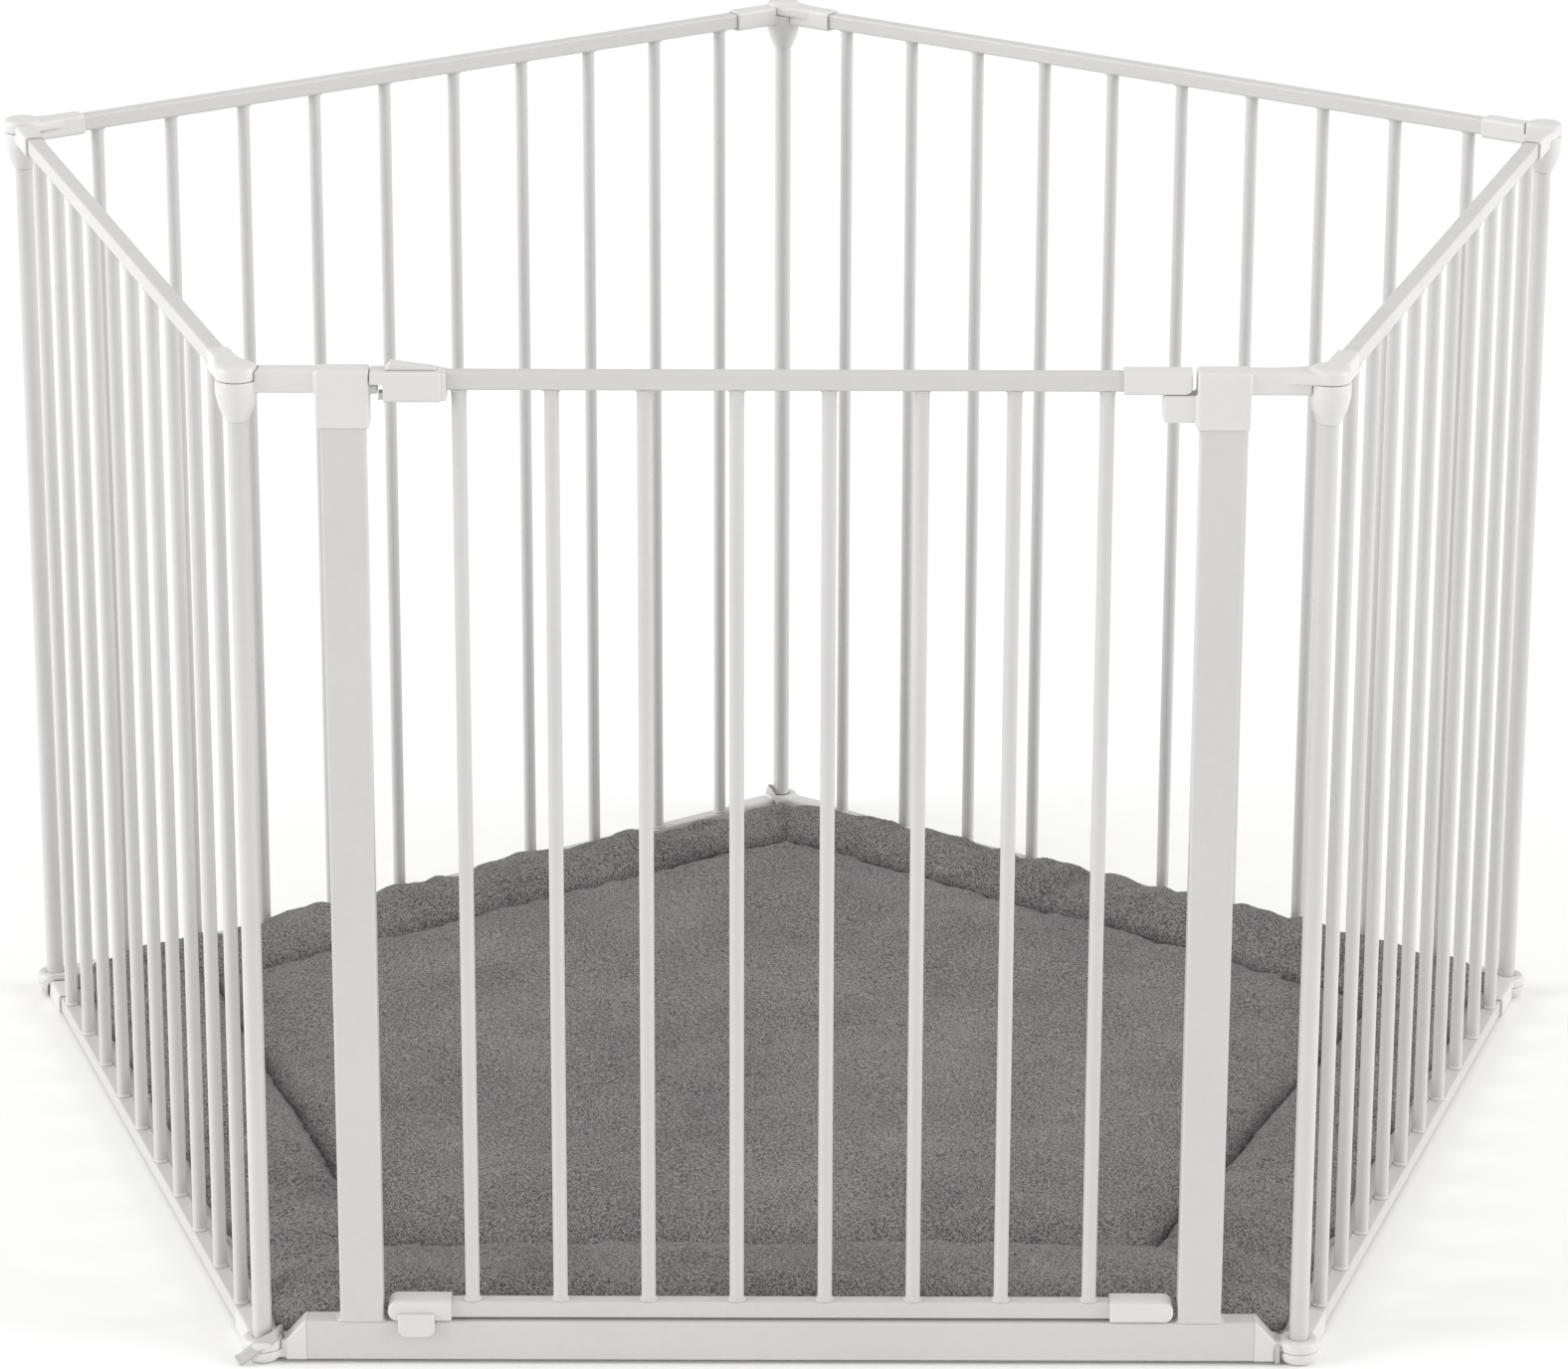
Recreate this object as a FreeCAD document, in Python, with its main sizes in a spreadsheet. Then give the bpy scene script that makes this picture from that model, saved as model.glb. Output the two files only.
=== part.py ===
"""Five-sided steel playpen with a gate and a play mat, as a parametric FreeCAD document.

Every panel runs from one hinge axis to the next, going round the pen anticlockwise as seen from
above. At its first axis a panel carries the corner post, the lower half of the top knuckle (the
socket) and the lower half of the foot. At its other axis it carries the upper halves (cap and eye).
Millimetres, +Z up, origin on the floor under the middle of the pen, the gate towards -Y.
"""
import FreeCAD, Part
import math
import os
from FreeCAD import Placement, Rotation, Vector
import Sketcher

SIZES = {
    # pen and side panels
    "side_length": 720.0,          # from hinge axis to hinge axis
    "bar_count": 10.0,
    "bar_diameter": 10.0,
    "bar_wall": 1.0,
    "rail_size": 12.0,             # square tube of the top and bottom rails
    "rail_wall": 1.0,
    "rail_edge": 1.5,
    "top_rail_axis": 708.0,
    "bottom_rail_axis": 8.5,
    "post_diameter": 13.5,
    "post_wall": 1.2,
    # corner joints
    "arm_size": 16.0,              # square sleeve that holds a rail's end
    "arm_reach": 51.0,
    "arm_edge": 2.5,
    "rail_insert": 30.0,
    "joint_gap": 0.3,
    "running_gap": 0.05,
    "knuckle_diameter": 28.0,
    "knuckle_split": 708.0,
    "knuckle_waist": 698.5,
    "cap_top": 718.5,
    "cap_dome": 4.0,
    "cap_flare_reach": 32.0,       # where the cap's sides meet the arm's sides
    "socket_bottom": 679.5,
    "socket_mouth_diameter": 15.6,
    "post_top": 690.0,
    "pin_diameter": 6.0,
    "pin_bottom": 693.0,
    "pin_top": 715.0,
    "foot_diameter": 28.6,
    "foot_top": 18.0,
    "foot_split": 10.0,
    "foot_round": 8.0,
    "eye_round": 3.5,
    "post_seat": 3.0,
    # gate frame
    "frame_depth": 18.0,
    "frame_wall": 1.5,
    "frame_edge": 2.0,
    "frame_rail_bottom": 3.0,
    "frame_rail_height": 29.0,
    "frame_rail_end": 31.7,        # from the corner axis to the end of the bottom rail
    "frame_post_width": 30.0,
    "frame_post_place": 70.0,      # from the corner axis to the middle of the post
    "frame_post_top": 706.0,
    "post_cap_width": 35.5,
    "post_cap_depth": 20.0,
    "post_cap_bottom": 676.5,
    "neck_reach": 17.0,
    "neck_width": 15.0,
    "plug_length": 20.0,
    # door
    "door_bar_count": 8.0,
    "door_bar_pitch": 61.0,
    "door_bottom_axis": 39.8,
    "door_rail_half": 246.0,
    "door_hinge_place": 258.0,     # from the gate's middle to the hinge pins
    "sleeve_start": 223.8,
    "sleeve_end": 269.3,
    "bracket_start": 250.0,
    "bracket_bottom": 681.5,
    "end_cap_inner": 228.0,
    "end_cap_outer": 272.0,
    "end_cap_depth": 20.0,
    "end_cap_height": 14.8,
    "end_cap_round": 6.5,
    "tab_inner": 239.5,
    "tab_outer": 265.0,
    "tab_thickness": 3.6,
    "tab_bottom": 22.0,
    "tab_top": 38.8,
    "upper_pin_bottom": 685.0,
    "upper_pin_top": 711.5,
    "lower_pin_bottom": 22.0,
    "lower_pin_top": 43.6,
    # latch
    "latch_outer": 271.7,
    "latch_inner": 226.0,
    "latch_bottom": 694.5,
    "latch_top": 715.0,
    "latch_depth": 20.0,
    "latch_edge": 2.5,
    "collar_inner": 221.5,
    "collar_drop": 0.8,
    "mouth_wall": 263.0,
    "mouth_top": 706.6,
    "tongue_end": 266.8,
    "tongue_bottom": 699.0,
    "tongue_top": 704.9,
    "tongue_width": 10.0,
    "cavity_outer": 261.0,
    "cavity_inner": 236.0,
    "cavity_width": 10.0,
    "cavity_bottom": 697.0,
    "cavity_top": 712.5,
    "nose_outer": 266.4,
    "carriage_inner": 248.0,
    "thumb_peak": 720.5,
    "spring_radius": 3.0,
    "spring_wire": 0.6,
    "spring_axis": 705.5,
    "spring_turns": 5.0,
    # mat and its straps
    "mat_inset": 14.0,             # from the rail's axis to the mat's edge
    "mat_thickness": 28.0,
    "mat_corner": 40.0,
    "mat_edge": 12.0,
    "strap_width": 10.0,
    "strap_thickness": 1.0,
    "strap_ring_inner": 7.3,
    "strap_ring_outer": 12.0,
    "strap_reach": 26.0,
}

doc = FreeCAD.newDocument("Playpen")
sheet = doc.addObject("Spreadsheet::Sheet", "Sizes")
for row, (alias, number) in enumerate(SIZES.items(), start=1):
    sheet.set(f"A{row}", alias)
    sheet.set(f"B{row}", str(number))
    sheet.setAlias(f"B{row}", alias)
doc.recompute()


class Measure:
    """A length that knows its value now and the spreadsheet formula it comes from."""

    def __init__(self, value, formula):
        self.value = value
        self.formula = formula

    @staticmethod
    def of(number):
        return number if isinstance(number, Measure) else Measure(float(number), str(float(number)))

    def __add__(self, other):
        other = Measure.of(other)
        return Measure(self.value + other.value, f"({self.formula} + {other.formula})")

    def __sub__(self, other):
        other = Measure.of(other)
        return Measure(self.value - other.value, f"({self.formula} - {other.formula})")

    def __mul__(self, other):
        other = Measure.of(other)
        return Measure(self.value * other.value, f"({self.formula} * {other.formula})")

    def __truediv__(self, other):
        other = Measure.of(other)
        return Measure(self.value / other.value, f"({self.formula} / {other.formula})")

    def __neg__(self):
        return Measure(0.0, "0.0") - self

    def __radd__(self, other):
        return Measure.of(other) + self

    def __rsub__(self, other):
        return Measure.of(other) - self

    def __rmul__(self, other):
        return Measure.of(other) * self


class Sizes:
    """Reads the spreadsheet by alias, so that size.rail_size is bound to its cell."""

    def __getattr__(self, alias):
        return Measure(float(sheet.get(alias)), f"Sizes.{alias}")


size = Sizes()
nodes = []


def bind(item, **lengths):
    """Tie properties of a document object to spreadsheet formulas."""
    for name, length in lengths.items():
        item.setExpression(name, Measure.of(length).formula)


def place(item, x=0, y=0, z=0):
    """Tie the position of a primitive to spreadsheet formulas."""
    for axis, length in (("x", x), ("y", y), ("z", z)):
        item.setExpression(f"Placement.Base.{axis}", Measure.of(length).formula)
    return item


def box(name, x, y, z):
    """A block given by its low and high limits on each axis."""
    item = doc.addObject("Part::Box", name)
    low = [Measure.of(limits[0]) for limits in (x, y, z)]
    span = [Measure.of(limits[1]) - limits[0] for limits in (x, y, z)]
    bind(item, Length=span[0], Width=span[1], Height=span[2])
    return place(item, *low)


def cylinder(name, radius, z, x=0, y=0):
    """An upright cylinder between two heights."""
    item = doc.addObject("Part::Cylinder", name)
    bind(item, Radius=radius, Height=Measure.of(z[1]) - z[0])
    return place(item, x, y, z[0])


def fuse(name, *items):
    joined = doc.addObject("Part::MultiFuse", name)
    joined.Shapes = list(items)
    joined.Refine = True
    return joined


def cut(name, base, *tools):
    """Take one or more tools away from a base."""
    result = doc.addObject("Part::Cut", name)
    result.Base = base
    result.Tool = tools[0] if len(tools) == 1 else fuse(name + "_tools", *tools)
    result.Refine = True
    return result


def round_edges(name, base, radius, wanted):
    """Fillet the edges of base for which wanted(edge's box) is true."""
    doc.recompute()
    value = Measure.of(radius).value
    chosen = [number for number, edge in enumerate(base.Shape.Edges, start=1) if wanted(edge.BoundBox)]
    if not chosen:
        raise RuntimeError(f"{name}: no edge to round")
    result = doc.addObject("Part::Fillet", name)
    result.Base = base
    result.Edges = [(number, value, value) for number in chosen]
    return result


def along(axis):
    """Picks straight edges that run along one axis."""
    spans = {"x": ("YLength", "ZLength"), "y": ("XLength", "ZLength"), "z": ("XLength", "YLength")}[axis]
    return lambda limits: max(getattr(limits, spans[0]), getattr(limits, spans[1])) < 0.001


def new_body(name):
    return doc.addObject("PartDesign::Body", name)


def new_sketch(body, name, plane, offset=0):
    """A sketch on one of the body's own origin planes, moved along the plane's normal."""
    sketch = body.newObject("Sketcher::SketchObject", name)
    origin_plane = next(item for item in body.Origin.OriginFeatures if item.Role == plane)
    sketch.AttachmentSupport = [(origin_plane, "")]
    sketch.MapMode = "FlatFace"
    sketch.setExpression("AttachmentOffset.Base.z", Measure.of(offset).formula)
    return sketch


def draw_outline(sketch, corners):
    """A closed outline whose every corner is tied to a pair of formulas."""
    corners = [(Measure.of(u), Measure.of(v)) for u, v in corners]
    points = [Vector(u.value, v.value, 0) for u, v in corners]
    first = sketch.GeometryCount
    for start, end in zip(points, points[1:] + points[:1]):
        sketch.addGeometry(Part.LineSegment(start, end), False)
    last = sketch.GeometryCount - 1
    for number in range(first, last + 1):
        following = first if number == last else number + 1
        sketch.addConstraint(Sketcher.Constraint("Coincident", number, 2, following, 1))
    for number, (u, v) in enumerate(corners, start=first):
        for kind, length in (("DistanceX", u), ("DistanceY", v)):
            index = sketch.addConstraint(Sketcher.Constraint(kind, -1, 1, number, 1, length.value))
            sketch.setExpression(f"Constraints[{index}]", length.formula)


def pad(body, sketch, length, middle=False):
    """Pad a sketch, to one side or evenly to both sides."""
    feature = body.newObject("PartDesign::Pad", body.Name + "_pad")
    feature.Profile = sketch
    feature.setExpression("Length", Measure.of(length).formula)
    feature.Midplane = middle
    return feature


def round_body(body, radius, wanted):
    """Fillet the chosen edges of a body's last feature."""
    doc.recompute()
    base = body.Tip
    chosen = [f"Edge{number}" for number, edge in enumerate(base.Shape.Edges, start=1)
              if wanted(edge.BoundBox)]
    feature = body.newObject("PartDesign::Fillet", body.Name + "_fillet")
    feature.Base = (base, chosen)
    feature.setExpression("Radius", Measure.of(radius).formula)
    return feature


def keep(item, label, placement=None):
    """Record a finished piece as a node of the assembly."""
    item.Label = label
    if placement is not None:
        item.Placement = placement
    nodes.append(item)
    return item


# ---------------------------------------------------------------- shared pieces

def rectangular_tube(label, x, width, height, wall, edge, z_axis, placement):
    """A hollow rail that lies along X, its middle line at height z_axis."""
    body = new_body(label)
    sketch = new_sketch(body, label + "_section", "YZ_Plane", x[0])
    for half_width, half_height in ((width / 2, height / 2), (width / 2 - wall, height / 2 - wall)):
        draw_outline(sketch, [(-half_width, z_axis - half_height), (half_width, z_axis - half_height),
                              (half_width, z_axis + half_height), (-half_width, z_axis + half_height)])
    pad(body, sketch, Measure.of(x[1]) - x[0])
    half_width, half_height = width.value / 2, height.value / 2

    def outer_long_edge(limits):
        on_side = abs(abs(limits.YMin) - half_width) < 0.01
        on_face = abs(abs(limits.ZMin - z_axis.value) - half_height) < 0.01
        return along("x")(limits) and on_side and on_face

    round_body(body, edge, outer_long_edge)
    return keep(body, label, placement)


def tube_row(label, x_places, z, placement):
    """Upright bars of one tube size, one solid each, made from one sketch of rings."""
    sketch = doc.addObject("Sketcher::SketchObject", label + "_rings")
    sketch.setExpression("Placement.Base.z", Measure.of(z[0]).formula)
    radii = (size.bar_diameter / 2, size.bar_diameter / 2 - size.bar_wall)
    for x in x_places:
        for radius in radii:
            centre = Vector(x.value, 0, 0)
            ring = sketch.addGeometry(Part.Circle(centre, Vector(0, 0, 1), radius.value), False)
            sketch.addConstraint(Sketcher.Constraint("PointOnObject", ring, 3, -1))
            across = sketch.addConstraint(Sketcher.Constraint("DistanceX", -1, 1, ring, 3, x.value))
            round_size = sketch.addConstraint(Sketcher.Constraint("Radius", ring, radius.value))
            sketch.setExpression(f"Constraints[{across}]", x.formula)
            sketch.setExpression(f"Constraints[{round_size}]", radius.formula)
    bars = doc.addObject("Part::Extrusion", label)
    bars.Base = sketch
    bars.DirMode = "Custom"
    bars.Dir = Vector(0, 0, 1)
    bars.Solid = True
    bind(bars, LengthFwd=Measure.of(z[1]) - z[0])
    return keep(bars, label, placement)


def corner_post(label, foot_end, placement):
    """The round tube at a panel's first hinge axis."""
    outside = cylinder(label + "_outside", size.post_diameter / 2, (foot_end, size.post_top))
    inside = cylinder(label + "_inside", size.post_diameter / 2 - size.post_wall,
                      (foot_end - 1, size.post_top + 1))
    return keep(cut(label, outside, inside), label, placement)


def sleeve(name, reach, z_axis):
    """The rounded square block that grips a rail's end, from the hinge axis outwards."""
    half = size.arm_size / 2
    block = box(name + "_block", (0, reach), (-half, half), (z_axis - half, z_axis + half))
    return round_edges(name + "_rounded", block, size.arm_edge, along("x"))


def rail_pocket(name, z_axis):
    """The space inside a sleeve that the rail's end fills."""
    half = size.rail_size / 2
    return box(name, (size.arm_reach - size.rail_insert, size.arm_reach + 1), (-half, half),
               (z_axis - half, z_axis + half))


def cap_disc(name):
    """The domed upper half of a top knuckle, whose sides narrow to the width of the arm."""
    low = size.knuckle_split + size.joint_gap
    disc = cylinder(name + "_plain", size.knuckle_diameter / 2, (low, size.cap_top))
    top = size.cap_top.value
    dome = round_edges(name + "_dome", disc, size.cap_dome, lambda limits: limits.ZMin > top - 0.01)
    flare = new_body(name + "_flare")
    sketch = new_sketch(flare, name + "_plan", "XY_Plane", low)
    wide = size.knuckle_diameter / 2
    narrow = size.arm_size / 2
    draw_outline(sketch, [(0, -wide), (size.cap_flare_reach, -narrow),
                          (size.cap_flare_reach, narrow), (0, wide)])
    arm_top = size.top_rail_axis + size.arm_size / 2
    pad(flare, sketch, arm_top - low)
    far = size.cap_flare_reach.value
    round_body(flare, size.arm_edge, lambda limits: limits.ZMin > arm_top.value - 0.01
               and limits.XLength > far - 0.01)
    return fuse(name, dome, flare)


def socket_turning(name):
    """The turned lower half of a top knuckle: a cone that swells into a short cylinder."""
    body = new_body(name)
    sketch = new_sketch(body, name + "_profile", "XZ_Plane")
    mouth = size.socket_mouth_diameter / 2
    outer = size.knuckle_diameter / 2
    belly = size.socket_bottom + (size.knuckle_waist - size.socket_bottom) * 0.55
    draw_outline(sketch, [(0, size.socket_bottom), (mouth, size.socket_bottom),
                          (mouth + (outer - mouth) * 0.68, belly), (outer, size.knuckle_waist),
                          (outer, size.knuckle_split), (0, size.knuckle_split)])
    turning = body.newObject("PartDesign::Revolution", name + "_turning")
    turning.Profile = sketch
    turning.ReferenceAxis = (sketch, ["V_Axis"])
    turning.Angle = 360.0
    doc.recompute()
    heights = (belly.value, size.knuckle_waist.value)
    round_body(body, 6.0, lambda limits: limits.ZLength < 0.01
               and any(abs(limits.ZMin - height) < 0.01 for height in heights))
    return body


def around_cap(name):
    """The room a cap needs inside the arm of the knuckle below it."""
    return cylinder(name, size.knuckle_diameter / 2 + 2 * size.joint_gap,
                    (size.knuckle_split, size.cap_top + 1))


def around_socket(name):
    """The room a socket needs inside the arm of the cap above it."""
    return cylinder(name, size.knuckle_diameter / 2 + 2 * size.joint_gap,
                    (size.socket_bottom, size.knuckle_split + size.joint_gap))


def around_eye(name):
    """The room an eye needs inside the arm of the foot below it."""
    return cylinder(name, size.foot_diameter / 2 + 2 * size.joint_gap,
                    (size.foot_split, size.foot_top + 30))


def around_foot(name):
    """The room a foot needs inside the arm of the eye above it."""
    return cylinder(name, size.foot_diameter / 2 + 2 * size.joint_gap,
                    (-1, size.foot_split + size.joint_gap))


def foot_disc(name):
    """The lower half of a foot, with its rounded bottom edge."""
    disc = cylinder(name + "_plain", size.foot_diameter / 2, (0, size.foot_split))
    return round_edges(name, disc, size.foot_round, lambda limits: limits.ZMax < 0.01)


def eye_disc(name):
    """The upper half of a foot, a ring that turns round the corner post."""
    disc = cylinder(name + "_plain", size.foot_diameter / 2,
                    (size.foot_split + size.joint_gap, size.foot_top))
    top = size.foot_top.value
    return round_edges(name, disc, size.eye_round, lambda limits: limits.ZMin > top - 0.01)


def cap_bores(name):
    return [cylinder(name + "_pin_bore", size.pin_diameter / 2, (size.knuckle_split - 1, size.pin_top))]


def socket_bores(name):
    """The post's seat below and the hinge pin's running bore above."""
    return [cylinder(name + "_post_bore", size.post_diameter / 2, (size.socket_bottom - 1, size.post_top)),
            cylinder(name + "_pin_bore", size.pin_diameter / 2 + size.running_gap,
                     (size.pin_bottom - 1, size.knuckle_split + 1))]


def eye_bores(name):
    return [cylinder(name + "_post_bore", size.post_diameter / 2 + 2 * size.running_gap,
                     (size.foot_split, size.foot_top + 1))]


def foot_bores(name, post_foot_end):
    """The blind seat of the corner post, where the post reaches down into the foot."""
    if post_foot_end.value > size.foot_split.value:
        return []
    return [cylinder(name + "_post_bore", size.post_diameter / 2, (post_foot_end, size.foot_split + 1))]


def hinge_pin(label, placement):
    """The steel pin that hangs from a cap into the socket below, its two ends eased."""
    pin = cylinder(label + "_plain", size.pin_diameter / 2, (size.pin_bottom, size.pin_top))
    return keep(round_edges(label, pin, 0.5, lambda limits: limits.ZLength < 0.01), label, placement)


# ---------------------------------------------------------------- side panels

def panel_arm(label, turned_part, room, bores, z_axis, placement):
    """A knuckle or foot half with the sleeve that grips the panel's rail."""
    arm = cut(label + "_arm", sleeve(label, size.arm_reach, z_axis), room)
    joined = fuse(label + "_joined", turned_part, arm)
    return keep(cut(label, joined, rail_pocket(label + "_pocket", z_axis), *bores), label, placement)


def side_panel(name, first_end, second_end, post_foot_end, pinned):
    """One panel of upright bars, with the hinge halves at both of its ends."""
    rail_start = size.arm_reach - size.rail_insert
    rail_span = (rail_start, size.side_length - rail_start)
    half = size.rail_size / 2
    for level, axis in (("top", size.top_rail_axis), ("bottom", size.bottom_rail_axis)):
        rectangular_tube(f"{name}_{level}_rail", rail_span, size.rail_size, size.rail_size,
                         size.rail_wall, size.rail_edge, axis, first_end)
    pitch = size.side_length / (size.bar_count + 1)
    places = [pitch * number for number in range(1, int(size.bar_count.value) + 1)]
    tube_row(f"{name}_bars", places, (size.bottom_rail_axis + half, size.top_rail_axis - half), first_end)
    corner_post(f"{name}_post", post_foot_end, first_end)
    label = f"{name}_top_socket"
    panel_arm(label, socket_turning(label + "_turned"), around_cap(label + "_room"),
              socket_bores(label), size.top_rail_axis, first_end)
    label = f"{name}_foot"
    panel_arm(label, foot_disc(label + "_disc"), around_eye(label + "_room"),
              foot_bores(label, post_foot_end), size.bottom_rail_axis, first_end)
    label = f"{name}_top_cap"
    panel_arm(label, cap_disc(label + "_disc"), around_socket(label + "_room"),
              cap_bores(label), size.top_rail_axis, second_end)
    label = f"{name}_bottom_eye"
    panel_arm(label, eye_disc(label + "_disc"), around_foot(label + "_room"),
              eye_bores(label), size.bottom_rail_axis, second_end)
    if pinned:
        hinge_pin(f"{name}_hinge_pin", second_end)


# ---------------------------------------------------------------- gate frame

def frame_post(label, placement):
    """An upright rectangular tube of the gate frame."""
    half_width = size.frame_post_width / 2
    half_depth = size.frame_depth / 2
    z_start = size.frame_rail_bottom + size.frame_rail_height
    body = new_body(label)
    sketch = new_sketch(body, label + "_section", "XY_Plane", z_start)
    for inset in (Measure.of(0), size.frame_wall):
        low_x = size.frame_post_place - half_width + inset
        high_x = size.frame_post_place + half_width - inset
        deep = half_depth - inset
        draw_outline(sketch, [(low_x, -deep), (high_x, -deep), (high_x, deep), (low_x, deep)])
    pad(body, sketch, size.frame_post_top - z_start)
    post_x = size.frame_post_place.value
    outer_x = (post_x - half_width.value, post_x + half_width.value)
    round_body(body, size.frame_edge, lambda limits: along("z")(limits)
               and min(abs(limits.XMin - place_x) for place_x in outer_x) < 0.01)
    return keep(body, label, placement)


def post_cap_block(name):
    """The plastic cap over a frame post, joined to the corner's arm."""
    half = size.post_cap_width / 2
    deep = size.post_cap_depth / 2
    top = size.top_rail_axis + size.arm_size / 2
    block = box(name + "_block", (size.frame_post_place - half, size.frame_post_place + half),
                (-deep, deep), (size.post_cap_bottom, top))
    low = size.post_cap_bottom.value
    return round_edges(name, block, 2.0, lambda limits: limits.ZMax > low + 0.01)


def post_cap_pocket(name):
    half = size.frame_post_width / 2
    deep = size.frame_depth / 2
    return box(name, (size.frame_post_place - half, size.frame_post_place + half), (-deep, deep),
               (size.post_cap_bottom - 1, size.frame_post_top))


def gate_top_corner(label, turned_part, room, extra, bores, placement):
    """Knuckle half, arm and post cap of the gate frame, as one moulding."""
    arm = cut(label + "_arm", sleeve(label, size.frame_post_place, size.top_rail_axis), room)
    joined = fuse(label + "_joined", turned_part, arm, post_cap_block(label + "_cap"), extra)
    return keep(cut(label, joined, post_cap_pocket(label + "_pocket"), *bores), label, placement)


def latch_tongue(name):
    """The fixed catch that sits in the latch's mouth."""
    start = size.frame_post_place + size.post_cap_width / 2 - 1
    end = size.side_length / 2 - size.tongue_end
    half = size.tongue_width / 2
    tongue = box(name + "_block", (start, end), (-half, half), (size.tongue_bottom, size.tongue_top))
    return round_edges(name, tongue, 0.8, along("y"))


def hinge_bracket(name):
    """The ledge on the right post cap that the door's top sleeve stands on."""
    start = size.frame_post_place + size.post_cap_width / 2 - 1
    end = size.side_length / 2 - size.bracket_start
    half = size.arm_size / 2
    top = size.top_rail_axis - half - 0.1
    bracket = box(name + "_block", (start, end), (-half, half), (size.bracket_bottom, top))
    outer = end.value
    return round_edges(name, bracket, 2.0, lambda limits: limits.XMin > outer - 0.01)


def corner_connector(label, turned_part, room, bores, placement):
    """The plastic foot connector at an end of the gate's bottom rail."""
    top = size.frame_rail_bottom + size.frame_rail_height
    half_depth = size.frame_depth / 2
    body = new_body(label + "_ramp")
    sketch = new_sketch(body, label + "_side", "XZ_Plane")
    draw_outline(sketch, [(size.neck_reach, size.frame_rail_bottom),
                          (size.frame_rail_end, size.frame_rail_bottom),
                          (size.frame_rail_end, top), (size.frame_rail_end - 1.7, top),
                          (size.neck_reach + 0.6, size.foot_top), (size.neck_reach, size.foot_top)])
    pad(body, sketch, size.frame_depth, middle=True)
    round_body(body, 1.0, lambda limits: limits.XMax < size.frame_rail_end.value - 0.1
               and limits.YLength < 0.01)
    neck_half = size.neck_width / 2
    neck = box(label + "_neck", (0, size.neck_reach + 1), (-neck_half, neck_half),
               (size.frame_rail_bottom + 1, size.foot_top - 1))
    wall = size.frame_wall
    plug = box(label + "_plug", (size.frame_rail_end - 1, size.frame_rail_end + size.plug_length),
               (wall - half_depth, half_depth - wall), (size.frame_rail_bottom + wall, top - wall))
    arm = cut(label + "_arm", fuse(label + "_blocks", body, neck, plug), room)
    joined = fuse(label + "_joined", turned_part, arm)
    return keep(cut(label, joined, *bores) if bores else joined, label, placement)


def gate_bottom_rail(placement):
    """The gate's sill, a flat hollow rail with the hole for the door's lower pin."""
    height = size.frame_rail_height
    middle = size.frame_rail_bottom + height / 2
    tube = rectangular_tube("gate_bottom_rail_tube",
                            (size.frame_rail_end, size.side_length - size.frame_rail_end),
                            size.frame_depth, height, size.frame_wall, size.frame_edge, middle, None)
    nodes.remove(tube)
    hole = cylinder("gate_bottom_rail_hole", size.pin_diameter / 2 + size.running_gap,
                    (middle, size.frame_rail_bottom + height + 1),
                    size.side_length / 2 + size.door_hinge_place)
    return keep(cut("gate_bottom_rail", tube, hole), "gate_bottom_rail", placement)


# ---------------------------------------------------------------- door, drawn from the gate's middle

def rail_end_pocket(name, x, z_axis):
    half = size.rail_size / 2
    return box(name, x, (-half, half), (z_axis - half, z_axis + half))


def door_sleeve(placement):
    """The plastic hinge sleeve on the right end of the door's top rail."""
    half = size.arm_size / 2
    low = size.top_rail_axis - half + 0.2
    block = box("door_hinge_sleeve_block", (size.sleeve_start, size.sleeve_end), (-half, half),
                (low, size.top_rail_axis + half))
    end = size.sleeve_end.value
    base = low.value

    def outer_low_corner(limits):
        return limits.XMin > end - 0.01 and limits.ZMax < base + 0.01

    rounded = round_edges("door_hinge_sleeve_corner", block, 5.0, outer_low_corner)
    soft = round_edges("door_hinge_sleeve_soft", rounded, 1.8, lambda limits: along("x")(limits))
    bore = cylinder("door_hinge_sleeve_bore", size.pin_diameter / 2 + size.running_gap,
                    (low - 1, size.upper_pin_top + 1), size.door_hinge_place)
    pocket = rail_end_pocket("door_hinge_sleeve_pocket", (size.sleeve_start - 1, size.door_rail_half),
                             size.top_rail_axis)
    return keep(cut("door_hinge_sleeve", soft, pocket, bore), "door_hinge_sleeve", placement)


def door_end_block(name):
    """A bottom end cap of the door with its rounded outer end, drawn for the hinge side."""
    deep = size.end_cap_depth / 2
    low = size.door_bottom_axis - size.end_cap_height / 2
    high = size.door_bottom_axis + size.end_cap_height / 2
    block = box(name + "_block", (size.end_cap_inner, size.end_cap_outer), (-deep, deep), (low, high))
    outer = size.end_cap_outer.value
    rounded = round_edges(name + "_end", block, size.end_cap_round,
                          lambda limits: limits.XMin > outer - 0.01 and limits.ZLength < 0.01)
    upright = round_edges(name + "_plan", rounded, 2.2, lambda limits: along("x")(limits))
    pocket = rail_end_pocket(name + "_pocket", (size.end_cap_inner - 1, size.door_rail_half),
                             size.door_bottom_axis)
    return upright, pocket


def door_pivot_cap(placement):
    """The bottom end cap that drops over the lower hinge pin."""
    name = "door_pivot_cap"
    block, pocket = door_end_block(name)
    bore = cylinder(name + "_bore", size.pin_diameter / 2 + size.running_gap,
                    (size.door_bottom_axis - size.end_cap_height, size.lower_pin_top + 1),
                    size.door_hinge_place)
    return keep(cut(name, block, pocket, bore), name, placement)


def door_end_cap(turned):
    """The bottom end cap on the latch side, turned half round from the hinge side."""
    name = "door_end_cap"
    block, pocket = door_end_block(name)
    return keep(cut(name, block, pocket), name, turned)


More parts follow.
